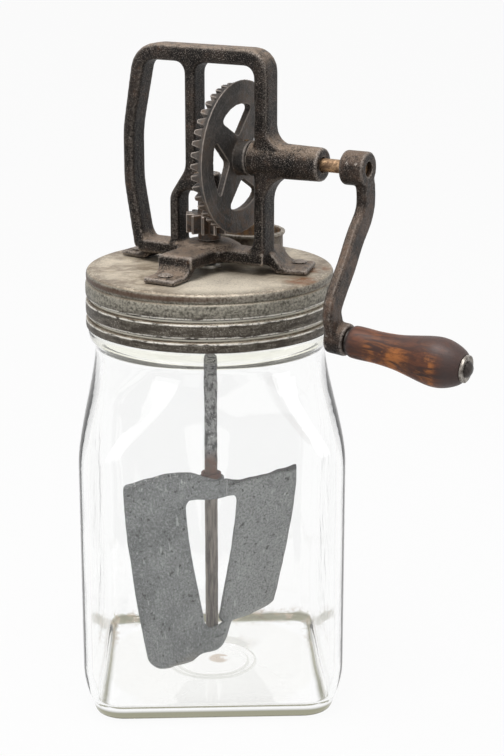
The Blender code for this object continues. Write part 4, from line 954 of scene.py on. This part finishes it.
def glass_finish():
    """Clear glass, with tints that show where light runs along or gathers dirt."""
    made, shader, place = new_finish("green_tinted_glass")
    height = place.part(2)
    radius = place.scaled(1.0, 1.0, 0.0).distance((0.0, 0.0, 0.0))
    side = place.node("ShaderNodeVectorMath", {"operation": "ABSOLUTE"}, {0: place})
    outside = side.part(0).larger(side.part(1))
    smudge = place.noise(0.006, 6.0, 0.6)
    foot = height.fade(0.0044, 0.0066) * outside.ramp(0.0480, 0.0515)
    colour = foot.mix((0.998, 1.0, 0.998), (0.105, 0.100, 0.050))
    low = height.fade(0.0056, 0.0100)
    dirt = low * outside.ramp(0.0440, 0.0490) * place.part(1).ramp(0.0, 0.040)
    colour = (dirt * smudge.ramp(0.48, 0.62) * 0.8).mix(colour, (0.36, 0.27, 0.17))
    floor = height.fade(0.0066, 0.0072) * height.ramp(0.0044, 0.0048)
    colour = (floor * radius.fade(0.050, 0.056) * 0.8).mix(colour, (0.93, 0.925, 0.885))
    rings = radius.near(OUTER_RING, 0.0010).larger(radius.near(INNER_RING, 0.0009))
    colour = (floor * rings * 0.8).mix(colour, (0.58, 0.585, 0.52))
    heel = outside.ramp(0.0440, 0.0480) * outside.fade(0.0525, 0.0530)
    colour = (height.near(HEEL_HEIGHT, 0.0012) * heel * 0.9).mix(colour, (0.42, 0.41, 0.31))
    spot = place.distance(FLOOR_SPOT).fade(0.0042, 0.0060) * smudge.ramp(0.34, 0.48)
    colour = spot.mix(colour, (0.44, 0.33, 0.24))
    colour = (height.near(COLLAR_HEIGHT, 0.0034) * 0.6).mix(colour, (0.90, 0.89, 0.74))
    waves = place.noise(0.020, 2.0, 0.5)
    feed(shader, Base_Color=colour, Roughness=0.0, Transmission_Weight=1.0, IOR=1.5,
         Normal=bump(waves, 0.0004, 0.25))
    return made


new_piece("clear_jar", make_jar_mesh(), "glass_jar", glass_finish(), sharp=50.0)

# %% [markdown]
# ## Dasher
# The dasher is one galvanised sheet, slit in the middle, twisted and bent over at its ends. The sheet has
# gone dull grey with dark pits and pale scratches. Its top is scraped at the left and carries painted
# shade along the fold at the right, its right edge is scraped too, and its lower lip is stained tan.

# %% Dasher blade finish
def zinc_finish():
    """Dull zinc, paler to the right, with scrapes and painted shade along the fold, placed by height and
    across.
    """
    made, shader, place = new_finish("dull_grey_zinc")
    across = place.part(0)
    height = place.part(2)
    clouds = place.noise(0.016, 5.0, 0.6)
    fine = place.noise(0.0010, 5.0, 0.70)
    pits = place.noise(0.0024, 2.0, 0.5).ramp(0.64, 0.70)
    strokes = place.scaled(3.0, 3.0, 0.22).noise(0.0042, 2.0, 0.5, 0.3).ramp(0.675, 0.710)
    scrapes = place.scaled(1.0, 1.0, 0.45).noise(0.0013, 3.0, 0.6, 0.5).ramp(0.58, 0.64)
    colour = clouds.ramp(0.34, 0.66).mix((0.150, 0.158, 0.158), (0.250, 0.260, 0.258))
    colour = (across.ramp(-0.010, 0.020) * 0.60).mix(colour, (0.330, 0.340, 0.330))
    colour = (fine.ramp(0.49, 0.60) * 0.62).mix(colour, (0.085, 0.088, 0.086))
    colour = (fine.fade(0.36, 0.47) * 0.55).mix(colour, (0.44, 0.45, 0.44))
    colour = (pits * 0.85).mix(colour, (0.030, 0.028, 0.026))
    worn_top = height.ramp(0.0935, 0.0985) * across.fade(-0.012, -0.004)
    worn_side = across.ramp(0.030, 0.036) * clouds.ramp(0.46, 0.58)
    colour = (worn_top.larger(worn_side) * scrapes * 0.75).mix(colour, (0.66, 0.67, 0.65))
    # painted shade: a dark strip along the fold at the top right
    fold = (height - across * 0.12 - 0.0927).ramp(0.0, 0.0012) * across.ramp(0.006, 0.012)
    colour = (fold * 0.80).mix(colour, (0.045, 0.044, 0.042))
    lip = height.fade(0.0125, 0.0165) * across.fade(-0.012, -0.004)
    colour = (lip * fine.ramp(0.40, 0.52) * 0.6).mix(colour, (0.34, 0.30, 0.24))
    colour = (strokes * 0.55).mix(colour, (0.56, 0.57, 0.56))
    relief = fine * 0.5 + clouds * 1.2 - pits * 0.5
    feed(shader, Base_Color=colour, Roughness=0.50 + fine * 0.2, Metallic=0.25,
         Normal=bump(relief, 0.0003, 0.6))
    return made


ZINC = zinc_finish()
print("zinc finish", ZINC.name)

# %% [markdown]
# The sheet is lofted in rows. Each row spans from edge to edge, with columns of its own beside the slot,
# so that the slot's corners come out round. The top and bottom edges wave, and their last few millimetres
# are folded over.

# %% Twisted blade
BLADE_BOTTOM = 0.0180
BLADE_HEIGHT = 0.0810
BLADE_HALF = 0.0430
BLADE_TOP = BLADE_BOTTOM + BLADE_HEIGHT
BLADE_SHEET = 0.0015
BLADE_TURN_TOP = 15.0
BLADE_TURN_BOTTOM = 46.5
SLOT_LOW = BLADE_BOTTOM + 0.0068
SLOT_HIGH = BLADE_TOP - 0.0090
SLOT_HALF_TOP = 0.0132
SLOT_HALF_BOTTOM = 0.0050
SLOT_ROUND = 0.0045
FOLD_SPAN = 0.0050
FOLD_REACH = 0.0030
FOLD_FROM = 0.20
FOLD_EASE = 0.25
WEB_AWAY = 0.0041
WEB_SPAN = 0.0085
TAB_RADIUS = 0.0060
TAB_THICKNESS = 0.0022
TAB_PROUD = 0.0004
HALF_COLUMNS = 26
SLOT_COLUMNS = 8
TOP_WAVE = (
    (-1.0, 0.0014), (-0.75, 0.0033), (-0.50, 0.0044), (-0.28, 0.0038), (-0.08, 0.0019), (0.13, -0.0003),
    (0.37, -0.0030), (0.62, -0.0026), (0.84, -0.0005), (1.0, 0.0012),
)
BOTTOM_WAVE = (
    (-1.0, -0.0024), (-0.86, -0.0037), (-0.46, -0.0056), (-0.08, -0.0052), (0.19, -0.0030),
    (0.34, 0.0030), (0.52, 0.0024), (0.75, 0.0018), (1.0, 0.0022),
)
CORNER_ROUNDS = {(-1, 1): 0.0026, (1, 1): 0.0002, (-1, 0): 0.0060, (1, 0): 0.0030}


def wave(table, share):
    """Height at a share of the blade's half width, eased between the table's points."""
    for (left, low), (right, high) in zip(table, table[1:]):
        if share <= right:
            part = max(share - left, 0.0) / (right - left)
            return low + (high - low) * part * part * (3 - 2 * part)
    return table[-1][1]


def slot_half(height):
    """Half width of the slot, rounded off at its top."""
    share = min(max((height - SLOT_LOW) / (SLOT_HIGH - SLOT_LOW), 0.0), 1.0)
    half = SLOT_HALF_BOTTOM + (SLOT_HALF_TOP - SLOT_HALF_BOTTOM) * math.sin(math.radians(90.0) * share)
    over = max(height - (SLOT_HIGH - SLOT_ROUND), 0.0) / SLOT_ROUND
    return half - SLOT_ROUND * (1 - math.sqrt(max(1 - min(over, 1.0) ** 2, 0.0)))


def edge_half(side, from_top, from_bottom):
    """Half width of the sheet, with its four corners rounded."""
    half = BLADE_HALF
    for end, distance in ((1, from_top), (0, from_bottom)):
        radius = CORNER_ROUNDS[(side, end)]
        if distance < radius:
            half -= radius - math.sqrt(max(radius ** 2 - (radius - distance) ** 2, 0.0))
    return half


def sheet_point(column, row_height, zone):
    """One corner of the sheet. Its column counts from the middle.

    The zone is -1 in the web under the slot, 0 beside the slot, and 1 in the web over it.
    """
    side = -1 if column < 0 else 1
    reach = abs(column)
    slot_share = slot_half(row_height) / BLADE_HALF
    share = slot_share * reach / SLOT_COLUMNS
    if reach > SLOT_COLUMNS:
        share = slot_share + (1 - slot_share) * (reach - SLOT_COLUMNS) / (HALF_COLUMNS - SLOT_COLUMNS)
    top = BLADE_TOP + wave(TOP_WAVE, side * share)
    bottom = BLADE_BOTTOM + wave(BOTTOM_WAVE, side * share)
    height = row_height
    if zone > 0:
        height = SLOT_HIGH + (row_height - SLOT_HIGH) * (top - SLOT_HIGH) / (BLADE_TOP - SLOT_HIGH)
    if zone < 0:
        height = SLOT_LOW - (SLOT_LOW - row_height) * (SLOT_LOW - bottom) / (SLOT_LOW - BLADE_BOTTOM)
    across = side * share * edge_half(side, top - height, height - bottom)
    lean = min(max((share - FOLD_FROM) / FOLD_EASE, 0.0), 1.0)
    fold = max(1 - min(top - height, height - bottom) / FOLD_SPAN, 0.0) ** 1.6
    bulge = math.exp(-(share * BLADE_HALF / WEB_SPAN) ** 2) if zone else 0.0
    away = side * fold * FOLD_REACH * lean - WEB_AWAY * bulge
    turn_share = (height - BLADE_BOTTOM) / BLADE_HEIGHT
    turn = math.radians(BLADE_TURN_BOTTOM + (BLADE_TURN_TOP - BLADE_TURN_BOTTOM) * turn_share)
    x = across * math.cos(turn) - away * math.sin(turn)
    return (x, across * math.sin(turn) + away * math.cos(turn), height)


def blade_rows():
    """Row heights with their zones, closest together near the edges and the slot's top."""
    rows = [(BLADE_BOTTOM + (SLOT_LOW - BLADE_BOTTOM) * (step / 10) ** 1.3, -1) for step in range(11)]
    round_start = SLOT_HIGH - SLOT_ROUND
    rows += [(height, 0) for height in steps_between(SLOT_LOW, round_start, 40)]
    rows += [(round_start + SLOT_ROUND * math.sin(math.radians(90.0) * step / 8), 0) for step in range(1, 8)]
    rows += [(BLADE_TOP - (BLADE_TOP - SLOT_HIGH) * (1 - step / 10) ** 1.3, 1) for step in range(11)]
    return rows


def blade_faces():
    """The sheet without thickness, in quads that leave the slot open."""
    work = bmesh.new()
    rows = blade_rows()
    columns = range(-HALF_COLUMNS, HALF_COLUMNS + 1)
    grid = [[work.verts.new(sheet_point(column, *row)) for column in columns] for row in rows]
    for index in range(len(rows) - 1):
        in_slot = rows[index][0] >= SLOT_LOW and rows[index + 1][0] <= SLOT_HIGH
        low, high = grid[index], grid[index + 1]
        for place in range(2 * HALF_COLUMNS):
            if in_slot and SLOT_COLUMNS > abs(place + 0.5 - HALF_COLUMNS):
                continue
            work.faces.new((low[place], low[place + 1], high[place + 1], high[place]))
    return mesh_from(work, "blade_shape")


def make_blade_mesh():
    """The sheet with its thickness, and a round tab in each web that the rod goes through."""
    skin = ("SOLIDIFY", {"thickness": BLADE_SHEET, "offset": 0.0})
    work = bmesh.new()
    work.from_mesh(modified(blade_faces(), (skin,)))
    for base in (BLADE_BOTTOM - TAB_PROUD, BLADE_TOP + TAB_PROUD - TAB_THICKNESS):
        middle = Matrix.Translation((0.0, 0.0, base + TAB_THICKNESS / 2))
        bmesh.ops.create_cone(work, cap_ends=True, segments=40, radius1=TAB_RADIUS, radius2=TAB_RADIUS,
                              depth=TAB_THICKNESS, matrix=middle)
    return mesh_from(work, "twisted_blade")


new_piece("twisted_blade", make_blade_mesh(), "dasher_blade", ZINC, sharp=40.0)

# %% [markdown]
# ## Wooden handle
# The grip is turned wood under old varnish, so its profile is spun round the handle's own axis and then
# laid in place. A Mapping node takes each point back to the handle's own axes, so that the grain is
# stretched along the grip whatever way it points. The varnish is worn to orange in front of the middle
# and on the swell.

# %% Handle
CRANK_RADIUS = 0.0735
CRANK_REST = math.radians(18.5)
HANDLE_DROOP = math.radians(5.0)
HANDLE_PIVOT = 0.0775
GRIP_START = 0.0854
GRIP_LENGTH = 0.0530
GRIP_BORE = 0.0027
GRIP_STEPS = 64
GRIP_PROFILE = (
    (0.0, 0.0064), (0.012, 0.0069), (0.045, 0.0071), (0.11, 0.0071), (0.22, 0.00695), (0.33, 0.0072),
    (0.44, 0.0078), (0.56, 0.0090), (0.67, 0.01015), (0.75, 0.0107), (0.82, 0.01055), (0.88, 0.0098),
    (0.93, 0.0088), (0.972, 0.0076), (0.992, 0.0067), (1.0, 0.0062),
)
PIVOT = Matrix.Translation((HANDLE_PIVOT, 0.0, -CRANK_RADIUS))
LEAN = Matrix.Rotation(HANDLE_DROOP, 4, "Y") @ Matrix.Translation((-HANDLE_PIVOT, 0.0, 0.0))
Z_TO_SHAFT = Matrix.Rotation(math.radians(90.0), 4, "Y")
CRANK_PLACE = TO_MECHANISM @ Matrix.Translation((0.0, 0.0, SHAFT_Z))
HANDLE_PLACE = CRANK_PLACE @ Matrix.Rotation(-CRANK_REST, 4, "X") @ PIVOT @ LEAN @ Z_TO_SHAFT


def eased_profile(points, steps):
    """More points along a smooth curve through the given ones."""
    curve = []
    last = len(points) - 1
    for index in range(last):
        places = [min(max(index + shift, 0), last) for shift in (-1, 0, 1, 2)]
        before, start, finish, after = [Vector(points[place]) for place in places]
        for step in range(steps):
            share = step / steps
            curve.append(0.5 * (2 * start + (finish - before) * share
                                + (2 * before - 5 * start + 4 * finish - after) * share ** 2
                                + (3 * start - before - 3 * finish + after) * share ** 3))
    curve.append(Vector(points[-1]))
    return curve


def grip_columns():
    """The grip's outline with its bore, at even turns round the handle's own axis."""
    outline = [(GRIP_BORE, GRIP_START)]
    curve = eased_profile(GRIP_PROFILE, 4)
    outline += [(radius, GRIP_START + share * GRIP_LENGTH) for share, radius in curve]
    outline.append((GRIP_BORE, GRIP_START + GRIP_LENGTH))
    for step in range(GRIP_STEPS):
        turn = 2 * math.pi * step / GRIP_STEPS
        yield [HANDLE_PLACE @ Vector((r * math.cos(turn), r * math.sin(turn), z)) for r, z in outline]


def wood_finish():
    """Dark varnish over reddish wood, worn to orange in front and faded on top."""
    made, shader, world_place = new_finish("worn_varnished_wood")
    start = Wire(made.node_tree)
    up = start.node("ShaderNodeTexCoord", output=1).part(2)
    place = world_place.node("ShaderNodeMapping", {"vector_type": "TEXTURE"},
                             {"Vector": world_place, "Location": HANDLE_PLACE.to_translation(),
                              "Rotation": HANDLE_PLACE.to_euler()})
    height = (place.part(2) - GRIP_START) / GRIP_LENGTH
    grain = place.scaled(1.0, 1.0, 0.10).noise(0.0010, 5.0, 0.65, 0.4)
    figure = place.scaled(1.0, 1.0, 0.22).noise(0.0036, 4.0, 0.6, 1.0)
    wear = place.noise(0.009, 5.0, 0.62)
    colour = figure.ramp(0.34, 0.66).mix((0.040, 0.0135, 0.0075), (0.125, 0.038, 0.0145))
    front = up.fade(0.30, 0.75)
    middle = height.ramp(0.10, 0.24) * height.fade(0.46, 0.64) * wear.ramp(0.38, 0.54)
    swell = height.ramp(0.60, 0.70) * height.fade(0.78, 0.86) * wear.ramp(0.46, 0.58)
    worn = middle.larger(swell) * (0.25 + 0.75 * front) * figure.ramp(0.36, 0.58)
    colour = (worn * 0.9).mix(colour, (0.44, 0.155, 0.040))
    colour = (grain.ramp(0.50, 0.64) * 0.55).mix(colour, (0.034, 0.0115, 0.0065))
    faded = up.ramp(0.45, 0.95) * height.ramp(0.30, 0.48) * 0.6
    ends = height.fade(0.0, 0.05).larger(height.ramp(0.80, 0.92)) * 0.85
    colour = faded.larger(ends).mix(colour, (0.050, 0.031, 0.028))
    rough = 0.44 + grain * 0.2 + worn * 0.06
    feed(shader, Base_Color=colour, Roughness=rough, Coat_Weight=0.10, Coat_Roughness=0.3,
         Specular_IOR_Level=0.35, Normal=bump(grain * 0.6 + wear * 0.8, 0.0003, 0.7))
    return made


varnished_grip = loft(grip_columns(), "varnished_grip")
new_piece("varnished_grip", varnished_grip, "wooden_handle", wood_finish(), sharp=50.0)

# %% [markdown]
# ## Closing update
# The view layer is brought up to date once more.

# %% Update the view layer
bpy.context.view_layer.update()
